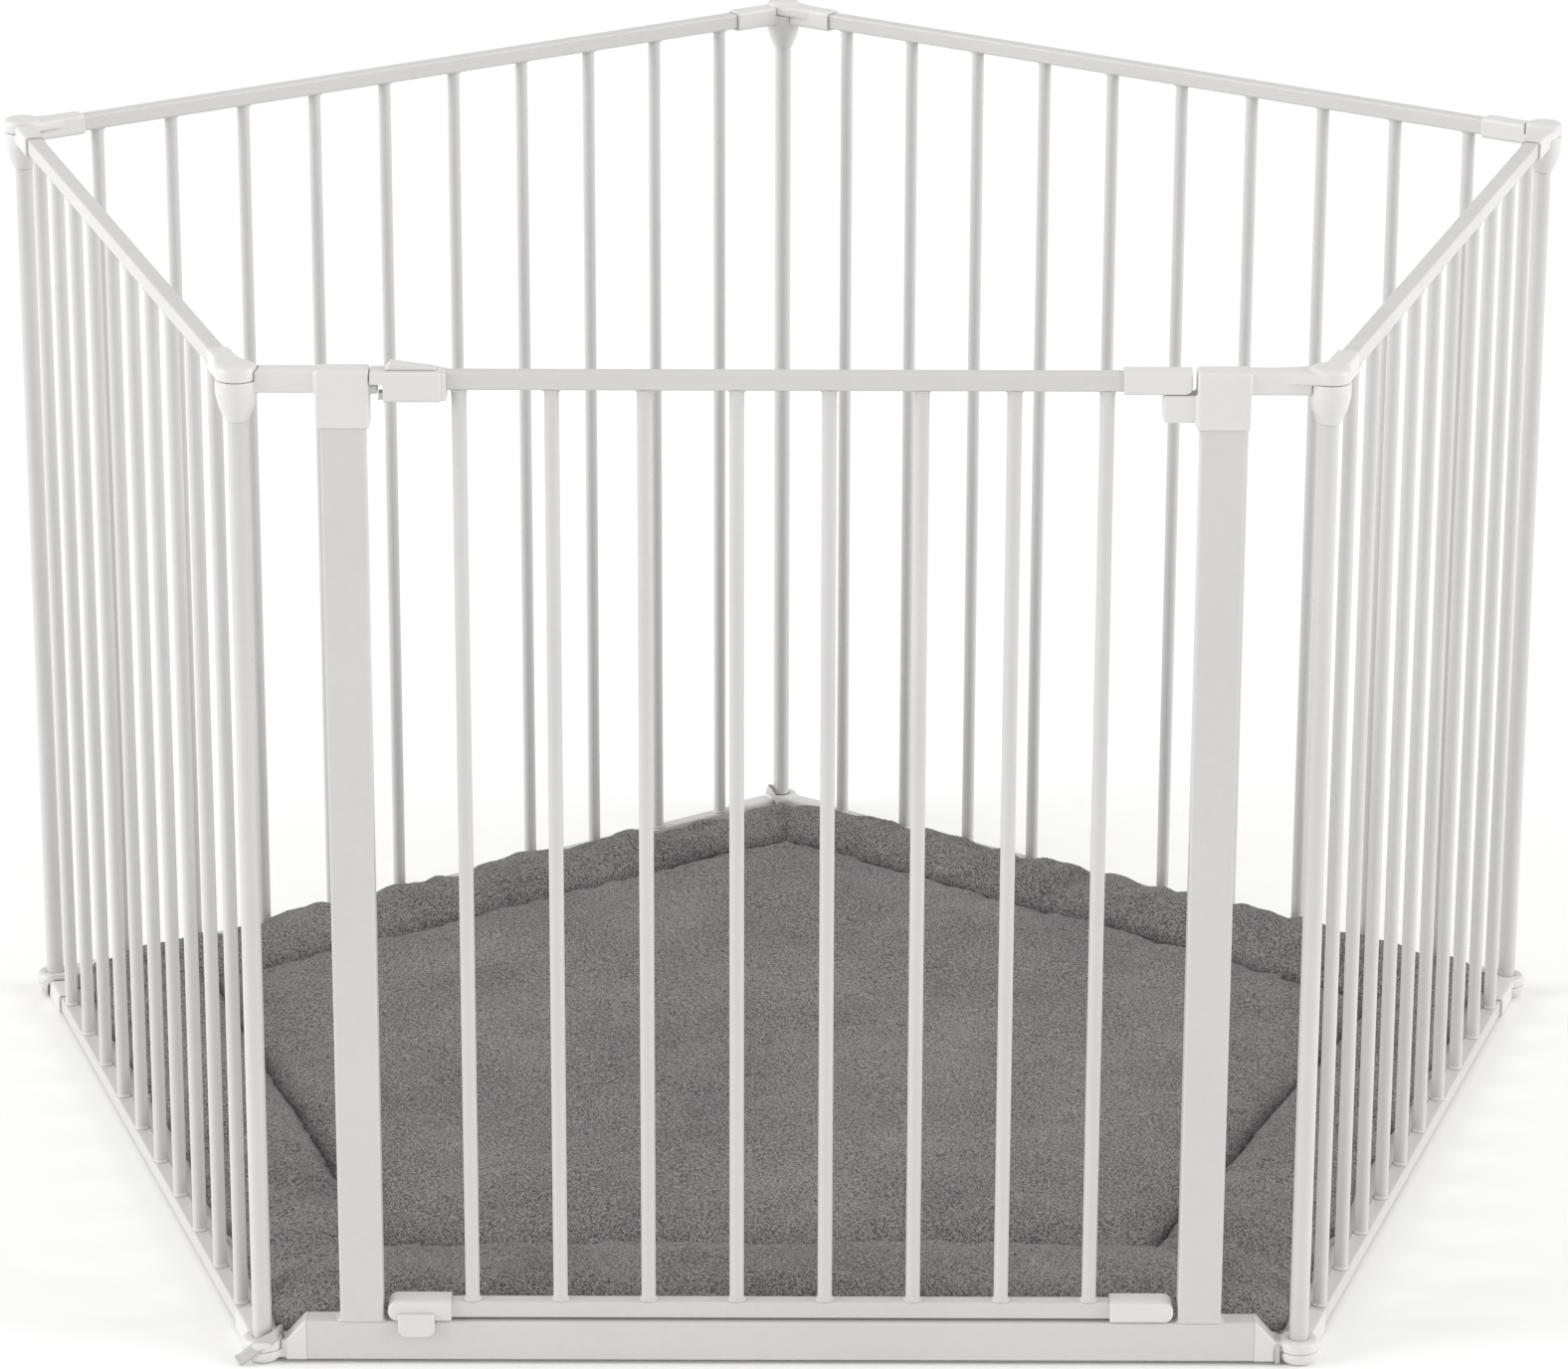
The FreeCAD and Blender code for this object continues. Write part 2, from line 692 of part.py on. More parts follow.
def door_stop_tab(placement):
    """The stop that hangs in front of the gate's sill, so the door swings outwards only."""
    name = "door_stop_tab"
    face = -(size.end_cap_depth / 2)
    block = box(name + "_block", (-size.tab_outer, -size.tab_inner), (face - size.tab_thickness, face),
                (size.tab_bottom, size.tab_top))
    low = size.tab_bottom.value
    corners = round_edges(name + "_corners", block, 6.0,
                          lambda limits: along("y")(limits) and limits.ZMax < low + 0.01)
    front = (face - size.tab_thickness).value
    return keep(round_edges(name, corners, 1.0, lambda limits: limits.YMax < front + 0.01), name, placement)


def latch_housing(placement):
    """The latch body on the door's top rail, with a mouth that is open to the front and back."""
    name = "latch_housing"
    deep = size.latch_depth / 2
    block = box(name + "_block", (-size.latch_outer, -size.latch_inner), (-deep, deep),
                (size.latch_bottom, size.latch_top))
    soft = round_edges(name + "_soft", block, size.latch_edge, along("x"))
    drop = size.collar_drop
    collar = box(name + "_collar_block", (-size.latch_inner - 1, -size.collar_inner),
                 (drop - deep, deep - drop), (size.latch_bottom + drop, size.latch_top - drop))
    ring = round_edges(name + "_collar", collar, 2.0, along("x"))
    mouth = box(name + "_mouth", (-size.latch_outer - 1, -size.mouth_wall), (-deep - 1, deep + 1),
                (size.latch_bottom - 1, size.mouth_top))
    half = size.cavity_width / 2
    cavity = box(name + "_cavity", (-size.cavity_outer, -size.cavity_inner), (-half, half),
                 (size.cavity_bottom, size.cavity_top))
    nose_slot = box(name + "_nose_slot", (-size.mouth_wall - 1, -(size.carriage_inner - 8)),
                    (0.3 - half, half - 0.3), (size.latch_bottom - 1, size.cavity_bottom + 3.2))
    thumb_slot = box(name + "_thumb_slot", (-(size.cavity_outer - 2), -size.cavity_inner), (-3.2, 3.2),
                     (size.cavity_top - 1, size.latch_top + 1))
    pocket = rail_end_pocket(name + "_pocket", (-(size.cavity_inner - 2), -(size.collar_inner - 1)),
                             size.top_rail_axis)
    body = fuse(name + "_joined", soft, ring)
    return keep(cut(name, body, mouth, cavity, nose_slot, thumb_slot, pocket), name, placement)


def latch_slider(placement):
    """Thumb piece, carriage and bolt nose in one moulding; it slides back against the spring."""
    name = "latch_slider"
    half = size.cavity_width / 2 - 0.2
    floor = size.cavity_bottom + 1.8
    top = size.cavity_top - 0.2
    carriage = box(name + "_carriage", (-(size.cavity_outer - 0.2), -size.carriage_inner), (-half, half),
                   (floor, top))
    nose = box(name + "_nose", (-size.nose_outer, -(size.carriage_inner + 2)), (0.6 - half, half - 0.6),
               (size.latch_bottom + 0.3, floor + 1))
    neck = box(name + "_neck", (-(size.cavity_outer - 2.2), -(size.carriage_inner - 2)), (-3.0, 3.0),
               (top - 1, size.latch_top + 1))
    body = new_body(name + "_thumb")
    sketch = new_sketch(body, name + "_thumb_side", "XZ_Plane")
    under = size.latch_top + 0.2
    draw_outline(sketch, [(-size.cavity_outer - 1, under), (-(size.carriage_inner - 20), under),
                          (-(size.carriage_inner - 20), under + 1.1),
                          (-(size.cavity_outer - 2.5), size.thumb_peak)])
    pad(body, sketch, size.cavity_width, middle=True)
    round_body(body, 0.8, lambda limits: limits.ZMax > under.value + 0.01)
    return keep(fuse(name, carriage, nose, neck, body), name, placement)


def latch_spring(placement):
    """The coil that pushes the slider's nose out, between the carriage and the housing's wall."""
    radius = size.spring_radius.value
    wire = size.spring_wire.value / 2
    length = size.carriage_inner.value - size.cavity_inner.value - 2 * wire
    path = Part.makeHelix(length / size.spring_turns.value, length, radius)
    section = Part.Wire(Part.makeCircle(wire, Vector(radius, 0, 0), Vector(0, 1, 0)))
    coil = Part.Wire(path).makePipeShell([section], True, True)
    upright = Rotation(Vector(0, 0, 1), Vector(1, 0, 0))
    start = Vector(wire - size.carriage_inner.value, 0, size.spring_axis.value)
    coil.Placement = Placement(start, upright)
    item = doc.addObject("Part::Feature", "latch_spring")
    item.Shape = coil
    return keep(item, "latch_spring", placement * coil.Placement)


def door_hinge_pins(placement):
    """The two steel pins the door turns on: one in the bracket, one in the sill."""
    radius = size.pin_diameter / 2
    upper = (size.upper_pin_bottom, size.upper_pin_top)
    lower = (size.lower_pin_bottom, size.lower_pin_top)
    pins = doc.addObject("Part::Compound", "door_hinge_pins")
    pins.Links = [cylinder("door_upper_pin", radius, upper, size.door_hinge_place),
                  cylinder("door_lower_pin", radius, lower, size.door_hinge_place)]
    return keep(pins, "door_hinge_pins", placement)


def door(placement, turned):
    """The swinging door: rails, bars and its plastic fittings."""
    half = size.rail_size / 2
    for label, axis, left in (("door_top_rail", size.top_rail_axis, size.cavity_inner - 2),
                              ("door_bottom_rail", size.door_bottom_axis, size.door_rail_half)):
        rectangular_tube(label, (-left, size.door_rail_half), size.rail_size, size.rail_size,
                         size.rail_wall, size.rail_edge, axis, placement)
    count = int(size.door_bar_count.value)
    places = [size.door_bar_pitch * (number - (count - 1) / 2) for number in range(count)]
    tube_row("door_bars", places, (size.door_bottom_axis + half, size.top_rail_axis - half), placement)
    door_sleeve(placement)
    door_pivot_cap(placement)
    door_end_cap(turned)
    door_stop_tab(placement)
    latch_housing(placement)
    latch_slider(placement)
    latch_spring(placement)
    door_hinge_pins(placement)


def gate(first_end, second_end, middle, middle_turned):
    """The gate panel: a frame with two posts, and the door hung in it."""
    gate_bottom_rail(first_end)
    frame_post("gate_left_post", first_end)
    frame_post("gate_right_post", second_end)
    corner_post("gate_corner_post", size.post_seat, first_end)
    label = "gate_left_cap"
    gate_top_corner(label, socket_turning(label + "_turned"), around_cap(label + "_room"),
                    latch_tongue(label + "_tongue"), socket_bores(label), first_end)
    label = "gate_right_cap"
    bracket_bore = cylinder(label + "_bracket_bore", size.pin_diameter / 2 + size.running_gap,
                            (size.upper_pin_bottom - 1, size.top_rail_axis),
                            size.side_length / 2 - size.door_hinge_place)
    gate_top_corner(label, cap_disc(label + "_disc"), around_socket(label + "_room"),
                    hinge_bracket(label + "_bracket"), cap_bores(label) + [bracket_bore], second_end)
    hinge_pin("gate_hinge_pin", second_end)
    label = "gate_left_foot"
    corner_connector(label, foot_disc(label + "_disc"), around_eye(label + "_room"),
                     foot_bores(label, size.post_seat), first_end)
    label = "gate_right_eye"
    corner_connector(label, eye_disc(label + "_disc"), around_foot(label + "_room"),
                     eye_bores(label), second_end)
    door(middle, middle_turned)


# ---------------------------------------------------------------- mat and straps

def play_mat(placement):
    """The padded mat on the floor, a pentagon with soft corners, drawn about the pen's centre."""
    fifth = math.pi / 5
    reach = size.side_length / (2 * math.sin(fifth)) - size.mat_inset / math.cos(fifth)
    angles = [math.pi / 2 + 2 * fifth * number for number in range(5)]
    body = new_body("play_mat")
    sketch = new_sketch(body, "play_mat_outline", "XY_Plane")
    draw_outline(sketch, [(reach * math.cos(angle), reach * math.sin(angle)) for angle in angles])
    pad(body, sketch, size.mat_thickness)
    round_body(body, size.mat_corner, along("z"))
    thickness = size.mat_thickness.value
    round_body(body, size.mat_edge, lambda limits: limits.ZMin > thickness - 0.01)
    return keep(body, "play_mat", placement)


def strap(name):
    """A mat corner's tie: a flat ring round the post with a tab that reaches the mat."""
    low = size.foot_top + size.joint_gap
    high = low + size.strap_thickness
    ring = cylinder(name + "_ring", size.strap_ring_outer, (low, high))
    half = size.strap_width / 2
    tab = box(name + "_tab", (0, size.strap_reach), (-half, half), (low, high))
    hole = cylinder(name + "_hole", size.strap_ring_inner, (low - 1, high + 1))
    return cut(name, fuse(name + "_joined", ring, tab), hole)


# ---------------------------------------------------------------- assembly

side = size.side_length.value
fifth_turn = 72.0
depth = side * (math.sin(math.radians(72)) + math.sin(math.radians(36)))
centre = Vector(0, side / (2 * math.tan(math.pi / 5)) - depth / 2, 0)


def end_frame(corner, heading):
    """Local frame at a hinge axis: X along the panel, +Y into the pen for a panel's first end."""
    return Placement(corner, Rotation(Vector(0, 0, 1), heading))


corners = [Vector(-side / 2, -depth / 2, 0)]
for number in range(4):
    heading = math.radians(fifth_turn * number)
    corners.append(corners[-1] + Vector(math.cos(heading), math.sin(heading), 0) * side)
front_left, front_right, right, back, left = corners

gate(end_frame(front_left, 0), end_frame(front_right, 180),
     end_frame(Vector(0, -depth / 2, 0), 0), end_frame(Vector(0, -depth / 2, 0), 180))

# The chain of panels is closed at the back corner by resting one half on the other, so the post
# that starts there stops just above the eye that belongs to the panel before it.
post_clear_of_eye = size.foot_top + size.joint_gap
side_panel("right_panel", end_frame(front_right, 72), end_frame(right, 252), size.post_seat, True)
side_panel("back_right_panel", end_frame(right, 144), end_frame(back, 324), size.post_seat, False)
side_panel("back_left_panel", end_frame(back, 216), end_frame(left, 36), post_clear_of_eye, True)
side_panel("left_panel", end_frame(left, 288), end_frame(front_left, 108), size.post_seat, True)

play_mat(Placement(centre, Rotation()))
for name, corner in (("right_strap", right), ("back_strap", back), ("left_strap", left)):
    towards = math.degrees(math.atan2(centre.y - corner.y, centre.x - corner.x))
    keep(strap(name), name, end_frame(corner, towards))
front = doc.addObject("Part::Compound", "front_straps")
front_pair = []
for name, corner in (("front_left_strap", front_left), ("front_right_strap", front_right)):
    towards = math.degrees(math.atan2(centre.y - corner.y, centre.x - corner.x))
    single = strap(name)
    single.Placement = end_frame(corner, towards)
    front_pair.append(single)
front.Links = front_pair
keep(front, "front_straps")

doc.recompute()
for item in doc.Objects:
    if "Invalid" in item.State or "Error" in item.State:
        raise RuntimeError(f"{item.Label}: {item.State}")
os.makedirs("parts", exist_ok=True)
for item in nodes:
    if item.Shape.isNull() or not item.Shape.isValid() or not item.Shape.Solids:
        raise RuntimeError(f"{item.Label}: bad shape")
    item.Shape.exportStep(f"parts/{item.Label}.step")
    print(item.Label, len(item.Shape.Solids), round(item.Shape.Volume))
print(len(nodes), "nodes")
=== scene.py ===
"""Looks of the five-sided playpen: powder-coated steel, moulded plastic joints, quilted fleece mat."""
import math

import bmesh
import bpy
import numpy as np
from mathutils import Matrix, Vector, noise


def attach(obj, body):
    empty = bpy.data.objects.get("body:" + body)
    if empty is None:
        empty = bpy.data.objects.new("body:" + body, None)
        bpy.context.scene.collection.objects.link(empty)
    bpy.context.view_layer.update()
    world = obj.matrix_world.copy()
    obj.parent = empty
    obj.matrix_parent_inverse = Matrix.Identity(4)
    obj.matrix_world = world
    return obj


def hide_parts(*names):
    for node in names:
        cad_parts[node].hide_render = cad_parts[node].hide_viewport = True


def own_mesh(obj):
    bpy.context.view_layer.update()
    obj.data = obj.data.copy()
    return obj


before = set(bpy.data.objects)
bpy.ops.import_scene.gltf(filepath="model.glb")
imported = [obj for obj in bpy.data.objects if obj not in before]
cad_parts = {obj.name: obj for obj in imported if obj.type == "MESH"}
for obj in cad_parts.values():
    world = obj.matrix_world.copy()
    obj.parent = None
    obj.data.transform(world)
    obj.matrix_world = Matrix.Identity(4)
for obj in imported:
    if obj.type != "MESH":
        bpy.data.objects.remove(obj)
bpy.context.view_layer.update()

MM = 0.001
SIDE = 0.72                                   # between the hinge axes of a panel
DEPTH = SIDE * (math.sin(math.radians(72)) + math.sin(math.radians(36)))
APOTHEM = SIDE / (2 * math.tan(math.radians(36)))
GATE_LINE = -DEPTH / 2
CENTRE = Vector((0, GATE_LINE + APOTHEM, 0))
PANEL_TURNS = {"right_panel": 1, "back_right_panel": 2, "back_left_panel": 3, "left_panel": 4}
BAR_RADIUS = 5 * MM
BAR_COUNT = 10
BAR_PITCH = SIDE / (BAR_COUNT + 1)
DOOR_BAR_COUNT = 8
DOOR_BAR_PITCH = 61 * MM
RAIL_TOP_UNDERSIDE = 702 * MM
RAIL_BOTTOM_TOP = 14.5 * MM
DOOR_RAIL_TOP = 45.8 * MM
SILL_TOP = 32 * MM
POST_PLACE = 290 * MM


def panel_turn(turns):
    """Turns the gate's side of the pentagon into another side."""
    turn = Matrix.Rotation(math.radians(72 * turns), 4, "Z")
    return Matrix.Translation(CENTRE) @ turn @ Matrix.Translation(-CENTRE)


def corner_point(turns):
    """The hinge axis at the first end of a side."""
    return panel_turn(turns) @ Vector((-SIDE / 2, GATE_LINE, 0))


def linked(name, data):
    """An object with this data, linked into the scene."""
    made = bpy.data.objects.new(name, data)
    bpy.context.scene.collection.objects.link(made)
    return made


# ---------------------------------------------------------------- camera, floor and light

VIEW_PLACE = (-0.0031, -4.3496, 1.7965)
VIEW_PITCH, VIEW_YAW, VIEW_ROLL = 0.3300, -0.0011, 0.0029      # radians; the pitch looks down
VIEW_LENS = 137.67                            # mm, over a sensor 36 mm wide
LIGHTING_STRENGTH, BACKDROP_STRENGTH = 0.73, 1.03              # of the studio's white, as light and as seen
FLOOR_REACH = 30.0


def build_camera():
    camera = bpy.data.cameras.new("view")
    camera.sensor_width = 36.0
    camera.lens = VIEW_LENS
    camera.clip_end = 50.0
    holder = linked("view", camera)
    heading = Matrix.Rotation(VIEW_YAW, 4, "Z")
    tilt = Matrix.Rotation(math.pi / 2 - VIEW_PITCH, 4, "X")
    turn = heading @ tilt @ Matrix.Rotation(VIEW_ROLL, 4, "Z")
    holder.matrix_world = Matrix.Translation(VIEW_PLACE) @ turn
    bpy.context.scene.camera = holder


def broad_light(name, source, strength, spread):
    """Even light from a wide patch of the studio, seen from the pen in the direction of source."""
    lamp = bpy.data.lights.new(name, "SUN")
    lamp.energy = strength
    lamp.angle = math.radians(spread)
    holder = linked(name, lamp)
    holder.matrix_world = (-Vector(source)).to_track_quat("-Z", "Y").to_matrix().to_4x4()


def build_studio():
    """White surroundings, a broad light from each side, and a sheet of paper under the pen."""
    scene = bpy.context.scene
    scene.view_settings.view_transform = "Standard"
    world = bpy.data.worlds.new("studio")
    scene.world = world
    world.use_nodes = True
    tree = world.node_tree
    background = tree.nodes["Background"]
    background.inputs["Color"].default_value = (1.0, 0.995, 0.985, 1)
    seen = node(tree, "ShaderNodeLightPath").outputs["Is Camera Ray"]
    strength = node(tree, "ShaderNodeMapRange", {"Value": seen, "To Min": LIGHTING_STRENGTH,
                                                 "To Max": BACKDROP_STRENGTH})
    tree.links.new(strength.outputs["Result"], background.inputs["Strength"])
    broad_light("left_wall", (-0.93, -0.17, 0.33), 2.0, 46)
    broad_light("right_wall", (0.93, -0.17, 0.33), 1.65, 46)
    mesh = bpy.data.meshes.new("studio_floor")
    corners = [(-FLOOR_REACH, -FLOOR_REACH, 0), (FLOOR_REACH, -FLOOR_REACH, 0),
               (FLOOR_REACH, FLOOR_REACH, 0), (-FLOOR_REACH, FLOOR_REACH, 0)]
    mesh.from_pydata(corners, [], [(0, 1, 2, 3)])
    floor = linked("studio_floor", mesh)
    paper, tree, shader = new_material("floor_paper")
    shader.inputs["Base Color"].default_value = (0.97, 0.97, 0.97, 1)
    shader.inputs["Roughness"].default_value = 0.95
    shader.inputs["Specular IOR Level"].default_value = 0.1
    mesh.materials.append(paper)


# ---------------------------------------------------------------- finishes

def new_material(name):
    material = bpy.data.materials.new(name)
    material.use_nodes = True
    return material, material.node_tree, material.node_tree.nodes["Principled BSDF"]


def shader_group(name, inputs, outputs):
    """An empty node group with these inputs (name, kind, value) and outputs (name, kind)."""
    tree = bpy.data.node_groups.new(name, "ShaderNodeTree")
    for label, kind, value in inputs:
        socket = tree.interface.new_socket(label, in_out="INPUT", socket_type=f"NodeSocket{kind}")
        if value is not None:
            socket.default_value = value
    for label, kind in outputs:
        tree.interface.new_socket(label, in_out="OUTPUT", socket_type=f"NodeSocket{kind}")
    return tree, tree.nodes.new("NodeGroupInput"), tree.nodes.new("NodeGroupOutput")


def feed(tree, socket, value):
    """Links a socket to another node's output, or sets it to a constant."""
    if isinstance(value, bpy.types.NodeSocket):
        tree.links.new(value, socket)
    else:
        socket.default_value = value


def node(tree, kind, links=None, **settings):
    """A node of that kind, its settings and its input values or links."""
    made = tree.nodes.new(kind)
    for name, value in settings.items():
        setattr(made, name, value)
    for name, value in (links or {}).items():
        feed(tree, made.inputs[name], value)
    return made


def math_of(tree, operation, *values):
    return node(tree, "ShaderNodeMath", dict(enumerate(values)), operation=operation).outputs[0]


def blend_of(tree, first, share, second, other_share):
    """Two values added, each by its own share."""
    return math_of(tree, "ADD", math_of(tree, "MULTIPLY", first, share),
                   math_of(tree, "MULTIPLY", second, other_share))


def vector_of(tree, operation, first, second):
    return node(tree, "ShaderNodeVectorMath", {0: first, 1: second}, operation=operation).outputs[0]


def noise_of(tree, vector, scale, detail=2.0, roughness=0.5):
    links = {"Vector": vector, "Scale": scale, "Detail": detail, "Roughness": roughness}
    return node(tree, "ShaderNodeTexNoise", links).outputs["Fac"]


def spread_of(tree, value, low, high, to_low=0.0, to_high=1.0):
    links = {"Value": value, "From Min": low, "From Max": high, "To Min": to_low, "To Max": to_high}
    ease = node(tree, "ShaderNodeMapRange", links, clamp=True, interpolation_type="SMOOTHSTEP")
    return ease.outputs["Result"]


def mixed_colour(tree, factor, first, second):
    """A colour between two others. The mix node has its colour sockets at places 6 and 7."""
    return node(tree, "ShaderNodeMix", {0: factor, 6: first, 7: second}, data_type="RGBA").outputs[2]


def build_tone_group():
    """Slow drift of colour and gloss over a painted or moulded surface."""
    tree, given, result = shader_group(
        "surface_tone",
        [("Vector", "Vector", None), ("Light", "Color", (0.8, 0.8, 0.8, 1)),
         ("Deep", "Color", (0.7, 0.7, 0.7, 1)), ("Patch Scale", "Float", 9.0),
         ("Low Gloss", "Float", 0.3), ("High Gloss", "Float", 0.4)],
        [("Color", "Color"), ("Roughness", "Float")])
    place, scale = given.outputs["Vector"], given.outputs["Patch Scale"]
    broad = noise_of(tree, place, scale, 3.0)
    fine = noise_of(tree, place, math_of(tree, "MULTIPLY", scale, 23.0), 2.0)
    share = spread_of(tree, blend_of(tree, broad, 0.7, fine, 0.3), 0.36, 0.64)
    colour = mixed_colour(tree, share, given.outputs["Light"], given.outputs["Deep"])
    gloss = node(tree, "ShaderNodeMapRange", {"Value": share, "To Min": given.outputs["Low Gloss"],
                                              "To Max": given.outputs["High Gloss"]}).outputs["Result"]
    tree.links.new(colour, result.inputs["Color"])
    tree.links.new(gloss, result.inputs["Roughness"])
    return tree


def build_relief_group():
    """Fine unevenness: the flow of cured powder, or the grain of a mould."""
    tree, given, result = shader_group(
        "fine_relief",
        [("Vector", "Vector", None), ("Grain Scale", "Float", 900.0), ("Flow Scale", "Float", 260.0),
         ("Flow Share", "Float", 0.6)],
        [("Height", "Float")])
    place, flow_share = given.outputs["Vector"], given.outputs["Flow Share"]
    grain = noise_of(tree, place, given.outputs["Grain Scale"], 1.0)
    flow = noise_of(tree, place, given.outputs["Flow Scale"], 1.0)
    grain_share = math_of(tree, "SUBTRACT", 1.0, flow_share)
    tree.links.new(blend_of(tree, flow, flow_share, grain, grain_share), result.inputs["Height"])
    return tree


def build_nap_group():
    """Melange of light and dark fibres brushed up into a short nap."""
    tree, given, result = shader_group(
        "brushed_nap",
        [("Vector", "Vector", None), ("Fibre Scale", "Float", 520.0),
         ("Light", "Color", (0.3, 0.3, 0.3, 1)), ("Deep", "Color", (0.08, 0.08, 0.08, 1)),
         ("Cloud", "Float", 0.2)],
        [("Color", "Color"), ("Height", "Float"), ("Roughness", "Float")])
    vector = given.outputs["Vector"]
    scale = given.outputs["Fibre Scale"]
    wander = node(tree, "ShaderNodeTexNoise", {"Vector": vector, "Scale": 70.0, "Detail": 1.0})
    pulled = vector_of(tree, "MULTIPLY", wander.outputs["Color"], (0.006, 0.006, 0.002))
    bent = vector_of(tree, "ADD", vector, pulled)
    streaked = node(tree, "ShaderNodeMapping", {"Vector": bent, "Rotation": (0, 0, 0.6),
                                                "Scale": (1.0, 0.42, 1.0)})
    strand = noise_of(tree, streaked.outputs[0], scale, 3.0, 0.62)
    tuft = noise_of(tree, bent, math_of(tree, "MULTIPLY", scale, 0.55), 2.0, 0.5)
    cloud = noise_of(tree, vector, 11.0, 3.0, 0.55)
    fleck = blend_of(tree, strand, 0.62, tuft, 0.38)
    drift = math_of(tree, "MULTIPLY", math_of(tree, "SUBTRACT", cloud, 0.5), given.outputs["Cloud"])
    share = spread_of(tree, math_of(tree, "ADD", fleck, drift), 0.37, 0.63)
    colour = mixed_colour(tree, share, given.outputs["Deep"], given.outputs["Light"])
    tree.links.new(colour, result.inputs["Color"])
    tree.links.new(blend_of(tree, strand, 0.5, tuft, 0.8), result.inputs["Height"])
    tree.links.new(spread_of(tree, strand, 0.3, 0.7, 0.98, 0.8), result.inputs["Roughness"])
    return tree


def object_place(tree):
    return node(tree, "ShaderNodeTexCoord").outputs["Object"]


def use_group(tree, group, links):
    return node(tree, "ShaderNodeGroup", links, node_tree=group).outputs


def dress(tree, shader, look):
    """Gives a shader the colour and roughness that a group puts out."""
    tree.links.new(look["Color"], shader.inputs["Base Color"])
    tree.links.new(look["Roughness"], shader.inputs["Roughness"])


def add_bump(tree, shader, height, strength, distance):
    bump = node(tree, "ShaderNodeBump", {"Height": height, "Strength": strength, "Distance": distance})
    tree.links.new(bump.outputs["Normal"], shader.inputs["Normal"])


def coated_material(name, light, deep, patch, gloss, relief, strength, coat=0.0):
    """Paint or plastic: drifting tone and gloss over a fine relief."""
    material, tree, shader = new_material(name)
    place = object_place(tree)
    tone = use_group(tree, GROUPS["tone"], {"Vector": place, "Light": (*light, 1), "Deep": (*deep, 1),
                                            "Patch Scale": patch, "Low Gloss": gloss[0],
                                            "High Gloss": gloss[1]})
    dress(tree, shader, tone)
    height = use_group(tree, GROUPS["relief"], {"Vector": place, "Grain Scale": relief[0],
                                                "Flow Scale": relief[1], "Flow Share": relief[2]})["Height"]
    add_bump(tree, shader, height, strength, 0.0004)
    shader.inputs["Coat Weight"].default_value = coat
    shader.inputs["Coat Roughness"].default_value = 0.25
    return material


def steel_material():
    """Zinc-plated steel of the pins and the spring."""
    material, tree, shader = new_material("zinc_plated_steel")
    place = object_place(tree)
    turned = node(tree, "ShaderNodeMapping", {"Vector": place, "Scale": (1.0, 1.0, 14.0)}).outputs[0]
    tone = use_group(tree, GROUPS["tone"], {"Vector": turned, "Light": (0.62, 0.63, 0.64, 1),
                                            "Deep": (0.48, 0.49, 0.5, 1), "Patch Scale": 60.0,
                                            "Low Gloss": 0.22, "High Gloss": 0.38})
    dress(tree, shader, tone)
    shader.inputs["Metallic"].default_value = 1.0
    height = use_group(tree, GROUPS["relief"], {"Vector": turned, "Grain Scale": 700.0, "Flow Scale": 200.0,
                                                "Flow Share": 0.3})["Height"]
    add_bump(tree, shader, height, 0.15, 0.0003)
    return material


def mat_material():
    """Grey fleece above, and the off-white cotton of the underside that turns up round the edge; painted
    shade darkens the fleece in a thin line along the seam's crease and faintly in a band beside it.
    """
    material, tree, shader = new_material("mat_fleece_and_cotton")
    place = object_place(tree)
    nap = use_group(tree, GROUPS["nap"], {"Vector": place, "Fibre Scale": 880.0,
                                          "Light": (0.280, 0.268, 0.268, 1),
                                          "Deep": (0.055, 0.052, 0.053, 1), "Cloud": 0.13})
    height = node(tree, "ShaderNodeSeparateXYZ", {"Vector": place}).outputs["Z"]
    offset = node(tree, "ShaderNodeAttribute", attribute_name="seam_offset").outputs["Fac"]
    # painted shade of the seam's crease: a thin dark line on it, and a fainter band either side
    seam_line_painted_shade = spread_of(tree, offset, 0.0004, 0.0022, 1.0, 0.0)
    seam_band_painted_shade = spread_of(tree, offset, 0.0, 0.009, 1.0, 0.0)
    wobble = math_of(tree, "MULTIPLY", math_of(tree, "SUBTRACT", noise_of(tree, place, 40.0), 0.5), 0.004)
    fleece = spread_of(tree, math_of(tree, "ADD", height, wobble), 0.0062, 0.0068)
    weave = noise_of(tree, place, 900.0, 1.0)
    cotton = mixed_colour(tree, weave, (0.58, 0.58, 0.575, 1), (0.70, 0.70, 0.69, 1))
    # the share of painted shade, and the nap darkened by it towards near black
    shade = blend_of(tree, seam_line_painted_shade, 0.55, seam_band_painted_shade, 0.22)
    nap_with_painted_shade = mixed_colour(tree, shade, nap["Color"], (0.022, 0.021, 0.021, 1))
    tree.links.new(mixed_colour(tree, fleece, cotton, nap_with_painted_shade), shader.inputs["Base Color"])
    tree.links.new(nap["Roughness"], shader.inputs["Roughness"])
    shader.inputs["Specular IOR Level"].default_value = 0.12
    shader.inputs["Sheen Weight"].default_value = 0.08
    shader.inputs["Sheen Roughness"].default_value = 0.55
    add_bump(tree, shader, nap["Height"], 0.6, 0.0009)
    return material


